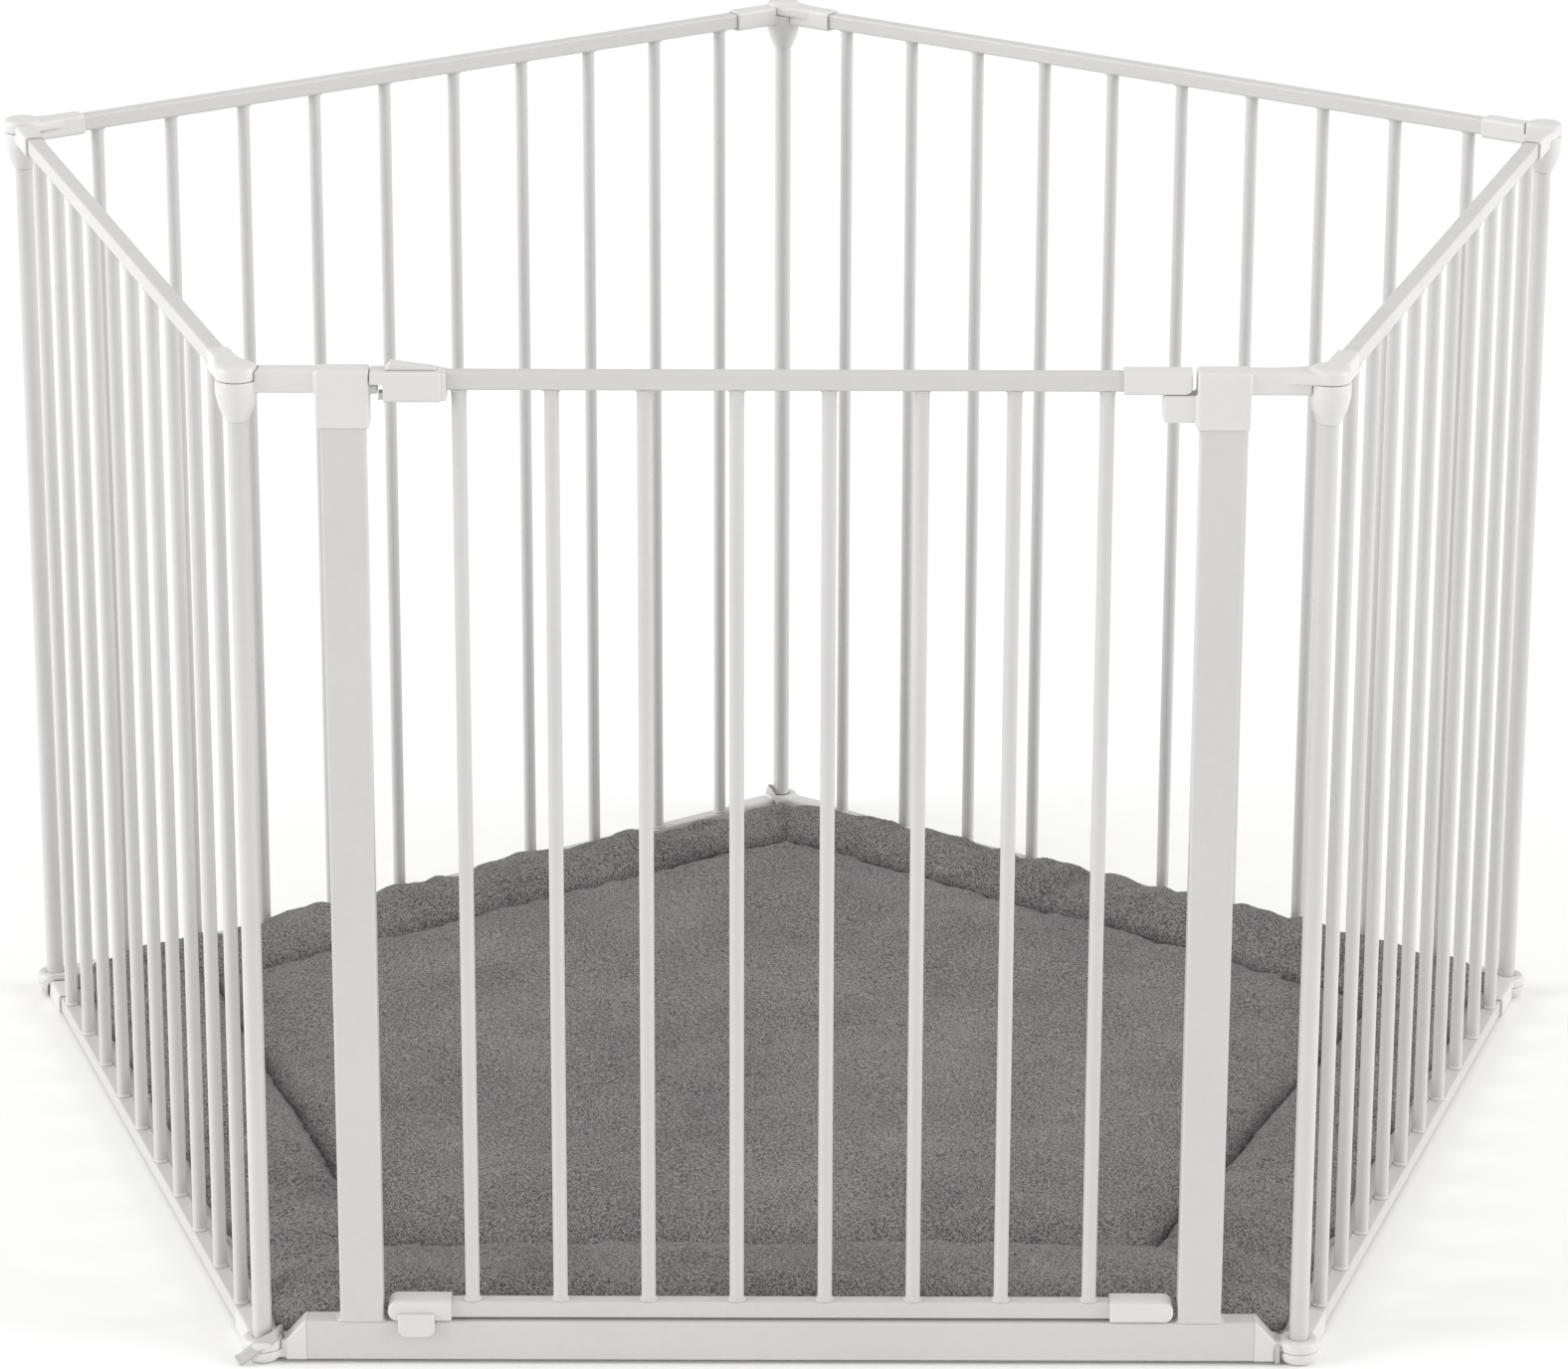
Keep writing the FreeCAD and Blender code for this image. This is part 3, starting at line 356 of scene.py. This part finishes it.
def ribbon_material():
    """Off-white grosgrain ribbon, ribbed across its length."""
    material, tree, shader = new_material("tie_ribbon")
    uv = node(tree, "ShaderNodeTexCoord").outputs["UV"]
    place = object_place(tree)
    ribs = node(tree, "ShaderNodeTexWave", {"Vector": uv, "Scale": 320.0, "Distortion": 0.6},
                wave_type="BANDS", bands_direction="X").outputs["Fac"]
    cloud = noise_of(tree, place, 120.0, 2.0)
    share = blend_of(tree, ribs, 0.45, cloud, 0.55)
    colour = mixed_colour(tree, share, (0.42, 0.415, 0.41, 1), (0.58, 0.575, 0.57, 1))
    tree.links.new(colour, shader.inputs["Base Color"])
    tree.links.new(spread_of(tree, ribs, 0.0, 1.0, 0.45, 0.6), shader.inputs["Roughness"])
    shader.inputs["Sheen Weight"].default_value = 0.15
    add_bump(tree, shader, ribs, 0.3, 0.0004)
    return material


GROUPS = {"tone": build_tone_group(), "relief": build_relief_group(), "nap": build_nap_group()}
POWDER_COAT = coated_material("powder_coat_white", (0.592, 0.586, 0.574), (0.572, 0.565, 0.553), 7.0,
                              (0.30, 0.40), (700.0, 240.0, 0.65), 0.16, 0.15)
PLASTIC = coated_material("moulded_plastic_white", (0.678, 0.671, 0.658), (0.660, 0.652, 0.638), 14.0,
                          (0.34, 0.44), (1400.0, 420.0, 0.35), 0.10)
STEEL = steel_material()
MAT_FABRIC = mat_material()
RIBBON = ribbon_material()


# ---------------------------------------------------------------- general making

def add_piece(name, mesh, material, body, replaced=()):
    """Links a finished mesh as a piece that rides on a body and stands for CAD parts."""
    mesh.materials.clear()
    mesh.materials.append(material)
    piece = linked(name, mesh)
    if replaced:
        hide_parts(*replaced)
    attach(piece, body)
    return piece


def baked(obj):
    """The evaluated mesh of a helper object, which is then thrown away."""
    bpy.context.view_layer.update()
    mesh = bpy.data.meshes.new_from_object(obj.evaluated_get(bpy.context.evaluated_depsgraph_get()))
    source = obj.data
    bpy.data.objects.remove(obj)
    if source.users == 0:
        bpy.data.meshes.remove(source)
    return mesh


def mesh_from(shell, name):
    """Turns a shell under construction into a mesh, and frees it."""
    mesh = bpy.data.meshes.new(name)
    shell.to_mesh(mesh)
    shell.free()
    return mesh


def bridge(shell, first, second):
    """Faces between two closed rings of points."""
    for number in range(len(first)):
        after = (number + 1) % len(first)
        shell.faces.new((first[number], first[after], second[after], second[number]))


def add_voxel_skin(helper, size):
    skin = helper.modifiers.new("skin", "REMESH")
    skin.mode = "VOXEL"
    skin.voxel_size = size


def shade_smooth(mesh):
    mesh.polygons.foreach_set("use_smooth", [True] * len(mesh.polygons))


# voxel size and smoothing passes of the mouldings, and of the small ones that need finer ones
MOULD = (0.8 * MM, 3)
FINE_MOULDS = {"latch_slider": (0.32 * MM, 1), "latch_housing": (0.45 * MM, 2),
               "door_stop_tab": (0.5 * MM, 3)}
WELD_DISTANCE = 1e-6                          # closer points of a CAD mesh are one point


def moulded_mesh(source, turns, voxel, passes):
    """A plastic part's mesh with its edges and inner corners eased, drawn in line with the gate."""
    shell = bmesh.new()
    shell.from_mesh(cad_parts[source].data)
    bmesh.ops.remove_doubles(shell, verts=shell.verts, dist=WELD_DISTANCE)
    bmesh.ops.transform(shell, matrix=panel_turn(-turns), verts=shell.verts)
    blank = linked(source + "_mould", mesh_from(shell, source + "_mould"))
    add_voxel_skin(blank, voxel * (1.0))
    ease = blank.modifiers.new("ease", "SMOOTH")
    ease.factor = 0.5
    ease.iterations = passes
    eased = baked(blank)
    shade_smooth(eased)
    return eased


def build_moulded_parts():
    """Every plastic part, with the repeated ones made once and turned to each panel."""
    for kind in ("top_socket", "foot", "top_cap", "bottom_eye"):
        master = moulded_mesh(f"right_panel_{kind}", PANEL_TURNS["right_panel"], *MOULD)
        for panel, turns in PANEL_TURNS.items():
            mesh = master.copy()
            mesh.transform(panel_turn(turns))
            add_piece(f"{panel}_{kind}_moulding", mesh, PLASTIC, panel, (f"{panel}_{kind}",))
        bpy.data.meshes.remove(master)
    gate_parts = {"gate_frame": ("gate_left_cap", "gate_right_cap", "gate_left_foot", "gate_right_eye"),
                  "door": ("door_hinge_sleeve", "door_pivot_cap", "door_end_cap", "door_stop_tab",
                           "latch_housing"),
                  "latch": ("latch_slider",)}
    for body, parts in gate_parts.items():
        for part in parts:
            mesh = moulded_mesh(part, 0, *FINE_MOULDS.get(part, MOULD))
            add_piece(part + "_moulding", mesh, PLASTIC, body, (part,))


def build_spring():
    """The latch's return spring, as the CAD model has it, riding on the door; in the real latch it is pressed
    against the housing's inner wall as the slider is drawn back.
    """
    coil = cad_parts["latch_spring"].data.copy()
    spring = add_piece("latch_return_spring", coil, STEEL, "door", ("latch_spring",))
    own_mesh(spring)


def finish_cad_parts():
    """The steel parts that show as they come from the CAD model."""
    for name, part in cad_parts.items():
        plated = name.endswith(("_pin", "_pins"))
        for entry in part.material_slots:
            entry.material = STEEL if plated else POWDER_COAT


# ---------------------------------------------------------------- repeated pieces

def geometry_tree(name, inputs):
    """A geometry node tree with named inputs; also gives each input's socket identifier."""
    tree = bpy.data.node_groups.new(name, "GeometryNodeTree")
    tree.interface.new_socket("Geometry", in_out="OUTPUT", socket_type="NodeSocketGeometry")
    names = {}
    for label, kind in inputs:
        socket = tree.interface.new_socket(label, in_out="INPUT", socket_type=f"NodeSocket{kind}")
        names[label] = socket.identifier
    return tree, tree.nodes.new("NodeGroupInput").outputs, tree.nodes.new("NodeGroupOutput").inputs, names


def grown(tree, identifiers, values):
    """The plain mesh that a tree makes with these values."""
    seed = linked(tree.name + "_seed", bpy.data.meshes.new(tree.name + "_seed"))
    maker = seed.modifiers.new("maker", "NODES")
    maker.node_group = tree
    for label, value in values.items():
        maker[identifiers[label]] = value
    return baked(seed)


BEAD_FACETS = 20
BEAD_HEIGHT = 2.5 * MM
BEAD_SPREAD = 2.2 * MM                        # past the bar, at the rail
BEAD_CLEARANCE = 0.05 * MM                    # round the bar, at the bead's tip
BEAD_SINK = 0.1 * MM                          # into the rail
BEAD_SQUEEZE = (1.0, 0.86, 1.0)               # narrower across the rail than along it


def weld_bead_tree():
    """Small weld collars where a row of bars meets its two rails."""
    tree, given, result, names = geometry_tree("weld_beads", [
        ("Count", "Int"), ("Start", "Vector"), ("Step", "Vector"), ("Rise", "Vector"),
        ("Bar Radius", "Float"), ("Foot Radius", "Float"), ("Bead Height", "Float"),
        ("Turn", "Vector"), ("Squeeze", "Vector"), ("Material", "Material")])

    def made(kind, links, **settings):
        return node(tree, kind, links, **settings).outputs[0]

    row = made("GeometryNodeMeshLine", {"Count": given["Count"], "Start Location": given["Start"],
                                        "Offset": given["Step"]}, mode="OFFSET")
    bead = made("GeometryNodeMeshCone", {"Vertices": BEAD_FACETS, "Side Segments": 2,
                                         "Radius Top": given["Bar Radius"],
                                         "Radius Bottom": given["Foot Radius"],
                                         "Depth": given["Bead Height"]})
    flipped = made("GeometryNodeTransform", {"Geometry": bead, "Rotation": (math.pi, 0, 0)})
    high = made("GeometryNodeTransform", {"Geometry": row, "Translation": given["Rise"]})
    parts = node(tree, "GeometryNodeJoinGeometry")
    for points, shape in ((row, bead), (high, flipped)):
        placed = made("GeometryNodeInstanceOnPoints", {"Points": points, "Instance": shape,
                                                       "Rotation": given["Turn"],
                                                       "Scale": given["Squeeze"]})
        tree.links.new(placed, parts.inputs[0])
    whole = made("GeometryNodeRealizeInstances", {"Geometry": parts.outputs[0]})
    smooth = made("GeometryNodeSetShadeSmooth", {"Geometry": whole})
    dressed = made("GeometryNodeSetMaterial", {"Geometry": smooth, "Material": given["Material"]})
    tree.links.new(dressed, result[0])
    return tree, names


def build_weld_beads():
    """The beads of every panel's bars and of the door's."""
    tree, names = weld_bead_tree()
    rows = [(panel, turns, BAR_COUNT, BAR_PITCH, -SIDE / 2 + BAR_PITCH, RAIL_BOTTOM_TOP)
            for panel, turns in PANEL_TURNS.items()]
    first_door_bar = -DOOR_BAR_PITCH * (DOOR_BAR_COUNT - 1) / 2
    rows.append(("door", 0, DOOR_BAR_COUNT, DOOR_BAR_PITCH, first_door_bar, DOOR_RAIL_TOP))
    for body, turns, count, pitch, first, low in rows:
        turn = panel_turn(turns)
        start = turn @ Vector((first, GATE_LINE, low - BEAD_SINK))
        step = turn.to_3x3() @ Vector((pitch, 0, 0))
        values = {"Count": count, "Start": start, "Step": step,
                  "Rise": (0, 0, RAIL_TOP_UNDERSIDE - low + 2 * BEAD_SINK),
                  "Bar Radius": BAR_RADIUS + BEAD_CLEARANCE, "Foot Radius": BAR_RADIUS + BEAD_SPREAD,
                  "Bead Height": BEAD_HEIGHT, "Turn": (0, 0, math.radians(72 * turns)),
                  "Squeeze": BEAD_SQUEEZE, "Material": POWDER_COAT}
        add_piece(body + "_weld_beads", grown(tree, names, values), POWDER_COAT, body)


POST_HALF_WIDTH = 15 * MM
FILLET_HALF_RUN, FILLET_LEG = 8.2 * MM, 3.4 * MM
FILLET_STATIONS = 15
FILLET_BITE = 0.4 * MM                        # into the post's wall
# the weld's section, in legs out from the wall and up from the sill
FILLET_OUTLINE = [(0, -0.4), (1.0, -0.4), (1.0, 0.05), (0.52, 0.25), (0.26, 0.55), (0.06, 1.0), (0, 1.0)]


def fillet_rings(shell, middle, side):
    """The rippled sections along one fillet weld, on that side of the post at middle."""
    wall = middle + side * (POST_HALF_WIDTH - FILLET_BITE)
    rings = []
    for step in range(FILLET_STATIONS):
        run = -FILLET_HALF_RUN + 2 * FILLET_HALF_RUN * step / (FILLET_STATIONS - 1)
        ripple = 0.16 * math.sin(step * 2.1) + 0.1 * math.sin(step * 4.7 + middle * 90)
        taper = math.sqrt(max(0.05, 1 - (run / FILLET_HALF_RUN) ** 6))
        reach = FILLET_LEG * taper * (1 + ripple)
        rings.append([shell.verts.new((wall + side * out * reach, GATE_LINE + run, SILL_TOP + up * reach))
                      for out, up in FILLET_OUTLINE])
    return rings


def build_post_welds():
    """The fillet welds at the two narrow sides of each gate post, where it stands on the sill."""
    shell = bmesh.new()
    for middle in (-POST_PLACE, POST_PLACE):
        for side in (-1, 1):
            rings = fillet_rings(shell, middle, side)
            for first, second in zip(rings, rings[1:]):
                bridge(shell, first, second)
            shell.faces.new(rings[0])
            shell.faces.new(list(reversed(rings[-1])))
    bmesh.ops.recalc_face_normals(shell, faces=shell.faces)
    mesh = mesh_from(shell, "gate_post_welds")
    shade_smooth(mesh)
    add_piece("gate_post_welds", mesh, POWDER_COAT, "gate_frame")


# ---------------------------------------------------------------- the mat

# Sides are counted from the gate's, 0, the way the panels are turned. A row of five numbers has one for each.
BACK_RIGHT, BACK_LEFT = PANEL_TURNS["back_right_panel"], PANEL_TURNS["back_left_panel"]
MAT_VOXEL, MAT_QUICK_VOXEL = 8.6 * MM, 14 * MM
MAT_EDGE = 16 * MM                            # from the rails' line to the mat's side
MAT_CORNER = 42 * MM
SLAB_LOW, SLAB_HIGH = 1.5 * MM, 15.5 * MM     # the mat's blank, before it is filled
FILL_FRAMES = 20
FILL_REACH = 12 * MM                          # the most that the filling moves any point
SEAM_INSET = np.array([152, 115, 97, 90, 117]) * MM            # from the rails' line to the stitched seam
SEAM_SLANT = np.array([0.0, -0.085, -0.04, 0.0, 0.0])          # how the seam drifts along each side
SEAM_TENSION = np.array([0.9, 1.0, 0.85, 0.85, 1.0])           # how tightly the seam is drawn
BORDER_LIFT = np.array([11.0, 12.5, 19.0, 18.0, 12.5]) * MM    # how full the border is
BORDER_OVERHANG = np.array([0.0, 0.0, 6.5, 5.5, 0.0]) * MM     # how far it swells past the mat's side
REAR_DROP, REAR_RETREAT = 10 * MM, 16 * MM    # the border's lower rise and its gap at the rear corner
UPPER_FACE = 9 * MM                           # points above this belong to the fleece side
OFF_SEAM = 1.0                                # seam offset of every point that is not on that side
PLACE_STEP = 1.7                              # keeps the noise of one side apart from the next side's


def headings(start):
    """Unit directions of the five sides, from the first one's angle in degrees."""
    angles = [math.radians(72 * number + start) for number in range(5)]
    return np.array([[math.cos(angle), math.sin(angle)] for angle in angles])


SIDE_NORMALS, SIDE_RUNS = headings(-90), headings(0)


def side_depths(points):
    """How far each point lies inside each of the five rail lines, and its place along them."""
    flat = points[:, :2] - np.array(CENTRE[:2])
    return APOTHEM - flat @ SIDE_NORMALS.T, flat @ SIDE_RUNS.T


def rounded_pentagon(inset, corner, arc=9):
    """Outline points of a pentagon inside the rails' line, its corners rounded."""
    outline = []
    reach = (APOTHEM - inset - corner) / math.cos(math.radians(36))
    for number in range(5):
        heading = math.radians(-54 + 72 * number)
        middle = CENTRE.to_2d() + reach * Vector((math.cos(heading), math.sin(heading)))
        for step in range(arc):
            angle = heading + math.radians(72) * (step / (arc - 1) - 0.5)
            outline.append(middle + corner * Vector((math.cos(angle), math.sin(angle))))
    return outline


def mat_blank(voxel):
    """A thin slab, evenly meshed, that the filling will swell."""
    outline = rounded_pentagon(MAT_EDGE + 1 * MM, MAT_CORNER)
    slab = bmesh.new()
    low, high = [[slab.verts.new((point.x, point.y, z)) for point in outline] for z in (SLAB_LOW, SLAB_HIGH)]
    bridge(slab, low, high)
    slab.faces.new(list(reversed(low)))
    slab.faces.new(high)
    blank = linked("mat_blank", mesh_from(slab, "mat_blank"))
    add_voxel_skin(blank, voxel)
    return baked(blank)


def seam_nearness(points):
    """Signed distance from the stitched seam, inside positive, and the side it belongs to."""
    depths, runs = side_depths(points)
    inside = depths - SEAM_INSET - runs * SEAM_SLANT
    return inside.min(axis=1), inside.argmin(axis=1)


def points_of(mesh):
    return np.array([vertex.co for vertex in mesh.vertices])


def swell(mesh, cap):
    """Fills the mat by a cloth simulation held along the seam and under the mat, then caps the rise."""
    blank = linked("mat_fill", mesh)
    start = points_of(mesh)
    seam, _ = seam_nearness(start)
    top = start[:, 2] > 12 * MM
    held = blank.vertex_groups.new(name="held")
    for index in np.nonzero(start[:, 2] < 5 * MM)[0]:
        held.add([int(index)], 1.0, "REPLACE")
    for index in np.nonzero(top & (np.abs(seam) < 5 * MM))[0]:
        held.add([int(index)], 0.9, "REPLACE")
    cloth = blank.modifiers.new("filling", "CLOTH")
    settings = cloth.settings
    settings.quality = 5
    settings.mass = 0.25
    settings.tension_stiffness = 12
    settings.compression_stiffness = 12
    settings.shear_stiffness = 4
    settings.bending_stiffness = 0.35
    settings.use_pressure = True
    settings.uniform_pressure_force = 4.0
    settings.shrink_min = -0.035
    settings.shrink_max = -0.035
    settings.vertex_group_mass = "held"
    settings.pin_stiffness = 2.0
    settings.effector_weights.gravity = 0.0
    cloth.point_cache.frame_start = 1
    cloth.point_cache.frame_end = FILL_FRAMES
    scene = bpy.context.scene
    for number in range(1, FILL_FRAMES + 1):
        scene.frame_set(number)
    swollen = baked(blank)
    scene.frame_set(1)
    move = points_of(swollen) - start
    length = np.maximum(np.linalg.norm(move, axis=1), 1e-9)
    kept = cap * np.tanh(length / cap)
    settled = start + move * (kept / length)[:, None]
    swollen.vertices.foreach_set("co", settled.ravel())
    return swollen


def wave_noise(x, y, size, seed):
    """Smooth noise of about one, over features of that size in metres."""
    return np.array([noise.noise(Vector((a / size, b / size, seed))) for a, b in zip(x, y)])


def finer_near_seam(mesh):
    """Halves the mesh size along the seam, where the cloth is pulled into a crease."""
    shell = bmesh.new()
    shell.from_mesh(mesh)
    centres = np.array([face.calc_center_median() for face in shell.faces])
    near = (np.abs(seam_nearness(centres)[0]) < 11 * MM) & (centres[:, 2] > UPPER_FACE)
    edges = {edge for face, chosen in zip(shell.faces, near) if chosen for edge in face.edges}
    edges = sorted(edges, key=lambda edge: edge.index)
    bmesh.ops.subdivide_edges(shell, edges=edges, cuts=1, use_grid_fill=True)
    shell.to_mesh(mesh)
    shell.free()


def subdivided(mesh):
    helper = linked("mat_fine", mesh)
    finer = helper.modifiers.new("finer", "SUBSURF")
    finer.levels = finer.render_levels = 1
    return baked(helper)


def rear_shyness(side, run):
    """How much the border draws back from the pen's rear corner, from 0 to 1 at the corner."""
    on_left, on_right = 1 - (run + SIDE / 2) / 0.19, 1 - (SIDE / 2 - run) / 0.10
    shy = np.where(side == BACK_LEFT, on_left, np.where(side == BACK_RIGHT, on_right, 0))
    return np.clip(shy, 0, 1) ** 0.7


def border_rise(depth, inside, side, shy):
    """How much fuller the border stands than the middle, between the mat's edge and its seam."""
    edge_part = np.clip((depth - MAT_EDGE) / np.maximum(depth - MAT_EDGE - inside, 1 * MM), 0, 1)
    return np.sin(np.pi * edge_part ** 0.66) ** 0.7 * (BORDER_LIFT[side] - REAR_DROP * shy)


def seam_relief(seam, inside, seam_place, tension):
    """The stitched groove, downwards, and the small puckers that run across it."""
    uneven = wave_noise(seam_place, inside * 0.3, 0.035, 3.0)
    groove = np.exp(-np.abs(seam) / (4.2 * MM)) * tension * (6.0 + 2.5 * uneven) * MM
    pucker = np.exp(-np.abs(seam) / (17 * MM)) * wave_noise(seam_place, inside * 0.3, 0.012, 7.0) * 3.0 * MM
    return pucker - groove


def corner_creases(bisector, inside, depth, side):
    """Depth of the creases from the seam's corners out to the mat's corners."""
    line = bisector + wave_noise(depth, side * 1.0, 0.03, 17.0) * 3 * MM
    fade = np.clip((4 * MM - inside) / (12 * MM), 0, 1) * np.clip((depth - 34 * MM) / (20 * MM), 0, 1)
    return np.exp(-np.abs(line) / (5 * MM)) * fade * 5.0 * MM


def edge_gathers(place, depth):
    """Gathers along the outer edge, wide lobes with a few tight ones."""
    wide, tight = wave_noise(place, depth * 0.25, 0.034, 11.0), wave_noise(place, depth * 0.25, 0.014, 19.0)
    return (wide + 0.45 * tight) * 5.2 * MM


def filling_softness(x, y, inside):
    """Broad swellings, livelier in the border, and a few long soft folds across the middle."""
    border = np.clip(-inside / (20 * MM), 0, 1)
    swellings = wave_noise(x, y, 0.15, 1.0) * 2.4 + wave_noise(x, y, 0.06, 2.0) * (1.5 + 1.6 * border)
    folds = np.exp(-np.abs(wave_noise(x + 0.35 * y, y * 0.3, 0.13, 5.0)) / 0.035) * 1.8
    return (swellings - folds) * MM


def build_mat():
    """The play mat: filled by simulation, then quilted along its seam and gathered at its edge."""
    mesh = mat_blank(MAT_VOXEL)
    mesh = swell(mesh, FILL_REACH)
    mesh = subdivided(mesh)
    finer_near_seam(mesh)
    points = points_of(mesh)
    depths, runs = side_depths(points)
    index = np.arange(len(points))
    side = depths.argmin(axis=1)
    depth, run = depths[index, side], runs[index, side]
    inside, seam_side = seam_nearness(points)
    seam_run = runs[index, seam_side]
    seam_place = seam_run + seam_side * PLACE_STEP
    seam = inside + wave_noise(seam_place, seam_side * 1.0, 0.045, 13.0) * 1.8 * MM
    nearest = np.sort(depths - SEAM_INSET - runs * SEAM_SLANT, axis=1)
    bisector = nearest[:, 1] - nearest[:, 0]
    # the back left seam slackens towards the left corner
    slack = np.where(seam_side == BACK_LEFT, np.clip((seam_run + 0.20) / 0.12, 0, 1), 0)
    upper = np.clip((points[:, 2] - 4 * MM) / (9 * MM), 0, 1)
    shy = rear_shyness(side, run)
    rim = np.exp(-(np.maximum(depth - MAT_EDGE, 0) / (24 * MM)) ** 2)
    gather = edge_gathers(run + side * PLACE_STEP, depth) * rim
    rise = border_rise(depth, inside, side, shy) + filling_softness(points[:, 0], points[:, 1], inside)
    rise += seam_relief(seam, inside, seam_place, SEAM_TENSION[seam_side] - 0.6 * slack)
    points[:, 2] += upper * (rise - corner_creases(bisector, inside, depth, side) + gather * 0.75)
    overhang = BORDER_OVERHANG[side] - REAR_RETREAT * shy
    reach = (gather * 0.5 + overhang * rim * upper) * np.clip(points[:, 2] / (14 * MM), 0, 1)
    points[:, :2] += SIDE_NORMALS[side] * reach[:, None]
    points[:, 2] = np.maximum(points[:, 2], 0.6 * MM)
    mesh.vertices.foreach_set("co", points.ravel())
    line = mesh.attributes.new("seam_offset", "FLOAT", "POINT")
    # the offset sets how much painted seam shade each point gets; the back left seam's slack makes it fainter
    # there
    offset = np.where(points[:, 2] > UPPER_FACE, np.abs(seam) + 1.3 * MM * slack, OFF_SEAM)
    line.data.foreach_set("value", offset.astype(np.float32))
    mesh.update()
    shade_smooth(mesh)
    mat = add_piece("play_mat_cushion", mesh, MAT_FABRIC, "gate_frame", ("play_mat",))


# ---------------------------------------------------------------- ribbon ties

RIBBON_THICKNESS = 0.7 * MM
FLAT_WIDTH, BUNCHED_WIDTH = 8.5 * MM, 3.6 * MM
RIBBON_STEPS = 7                              # between two points of a path
RIBBON_ACROSS = (-1.0, -0.5, 0.0, 0.5, 1.0)   # places over the width, in half widths
# Points of a ribbon in mm from its corner's hinge axis at the floor, each with the direction of its width.
OVER_FOOT = [((12, 24, 9), (-0.3, 0.1, 0.9)), ((12.8, 13, 14.5), (0, 0.1, 1)), ((12.2, 2, 20.2), (0, 0, 1)),
             ((8.6, -8.8, 20.2), (-0.25, 0.2, 0.9)), ((-0.5, -12.8, 16.0), (-0.5, 0.3, 0.8)),
             ((-8.6, -13.0, 9.5), (-0.5, 0.3, 0.8)), ((-13.6, -12.6, 5.0), (-0.5, 0.35, 0.75)),
             ((-16.8, -13.2, 4.0), (-0.5, 0.35, 0.75))]
NECK_WIDTH = (-0.31, 0.95, 0)
ROUND_NECK = [((18.5, 23.9, 10), NECK_WIDTH), ((6.7, 18.4, 14.5), NECK_WIDTH),
              ((-0.9, 15.8, 17.3), NECK_WIDTH), ((-9.0, 13.1, 17.2), NECK_WIDTH),
              ((-13.0, 11.8, 13.8), NECK_WIDTH), ((-13.5, 11.6, 6.5), NECK_WIDTH),
              ((-12.1, 12.0, 1.6), NECK_WIDTH), ((-6.6, 13.8, 0.8), NECK_WIDTH)]
OVER_ARM = [((23, 22, 25), (-0.8, 0.6, 0)), ((17, 12, 20), (0.95, -0.2, 0)), ((16.5, 5, 17.6), (1, 0, 0)),
            ((15.5, -4.5, 17.4), (1, 0, 0)), ((13.6, -9.6, 13.5), (1, 0.15, 0.1)),
            ((11.4, -10.6, 7), (1, 0.25, 0.1)), ((9.5, -9.4, 1.8), (1, 0.3, 0)), ((9, -3, 0.6), (1, 0, 0))]


def curve_point(a, b, c, d, t):
    """A point on the smooth curve from b to c, led by its neighbours a and d."""
    bend = (2 * a - 5 * b + 4 * c - d) * t * t
    return 0.5 * ((2 * b) + (c - a) * t + bend + (3 * b - a - 3 * c + d) * t ** 3)


def ribbon_strip(shell, path, full_width, uv_layer, turn):
    """Lays a flat ribbon along points (place, direction of its width), given in a corner's own frame."""
    places = [Vector(place) * MM for place, _ in path]
    widths = [Vector(width).normalized() for _, width in path]
    rows = []
    travelled = 0.0
    previous = None
    for number in range(len(places) - 1):
        a = places[max(number - 1, 0)]
        b, c = places[number], places[number + 1]
        d = places[min(number + 2, len(places) - 1)]
        for step in range(RIBBON_STEPS + (number == len(places) - 2)):
            t = step / RIBBON_STEPS
            point = curve_point(a, b, c, d, t)
            width = widths[number].lerp(widths[number + 1], t).normalized()
            if previous is not None:
                travelled += (point - previous).length
            previous = point
            offsets = [across * full_width / 2 for across in RIBBON_ACROSS]
            rows.append([(shell.verts.new(turn @ (point + width * offset)), travelled, offset)
                         for offset in offsets])
    for first, second in zip(rows, rows[1:]):
        for number in range(len(RIBBON_ACROSS) - 1):
            corners = (first[number], first[number + 1], second[number + 1], second[number])
            face = shell.faces.new([corner[0] for corner in corners])
            for loop, corner in zip(face.loops, corners):
                loop[uv_layer].uv = (corner[1], corner[2])


def build_ribbons():
    """The ties at the mat's corners, each looped round its own foot or arm."""
    ties = [("front_ties", "gate_frame", "front_straps",
             ((OVER_FOOT, 0, FLAT_WIDTH), (ROUND_NECK, 1, BUNCHED_WIDTH))),
            ("right_tie", "back_right_panel", "right_strap", ((OVER_ARM, 2, FLAT_WIDTH),)),
            ("back_tie", "back_left_panel", "back_strap", ((OVER_FOOT, 3, FLAT_WIDTH),)),
            ("left_tie", "left_panel", "left_strap", ((OVER_ARM, 4, FLAT_WIDTH),))]
    for name, body, node_name, strips in ties:
        shell = bmesh.new()
        layer = shell.loops.layers.uv.new("ribbon")
        for path, turns, width in strips:
            heading = Matrix.Rotation(math.radians(72 * turns), 4, "Z")
            ribbon_strip(shell, path, width, layer, Matrix.Translation(corner_point(turns)) @ heading)
        mesh = mesh_from(shell, name)
        shade_smooth(mesh)
        band = linked(name + "_band", mesh)
        thickness = band.modifiers.new("thickness", "SOLIDIFY")
        thickness.thickness = RIBBON_THICKNESS
        thickness.offset = 0.0
        add_piece(name, baked(band), RIBBON, body, (node_name,))


# ---------------------------------------------------------------- assembly of the looks

build_camera()
build_studio()
finish_cad_parts()
build_moulded_parts()
build_spring()
build_weld_beads()
build_post_welds()
build_mat()
build_ribbons()
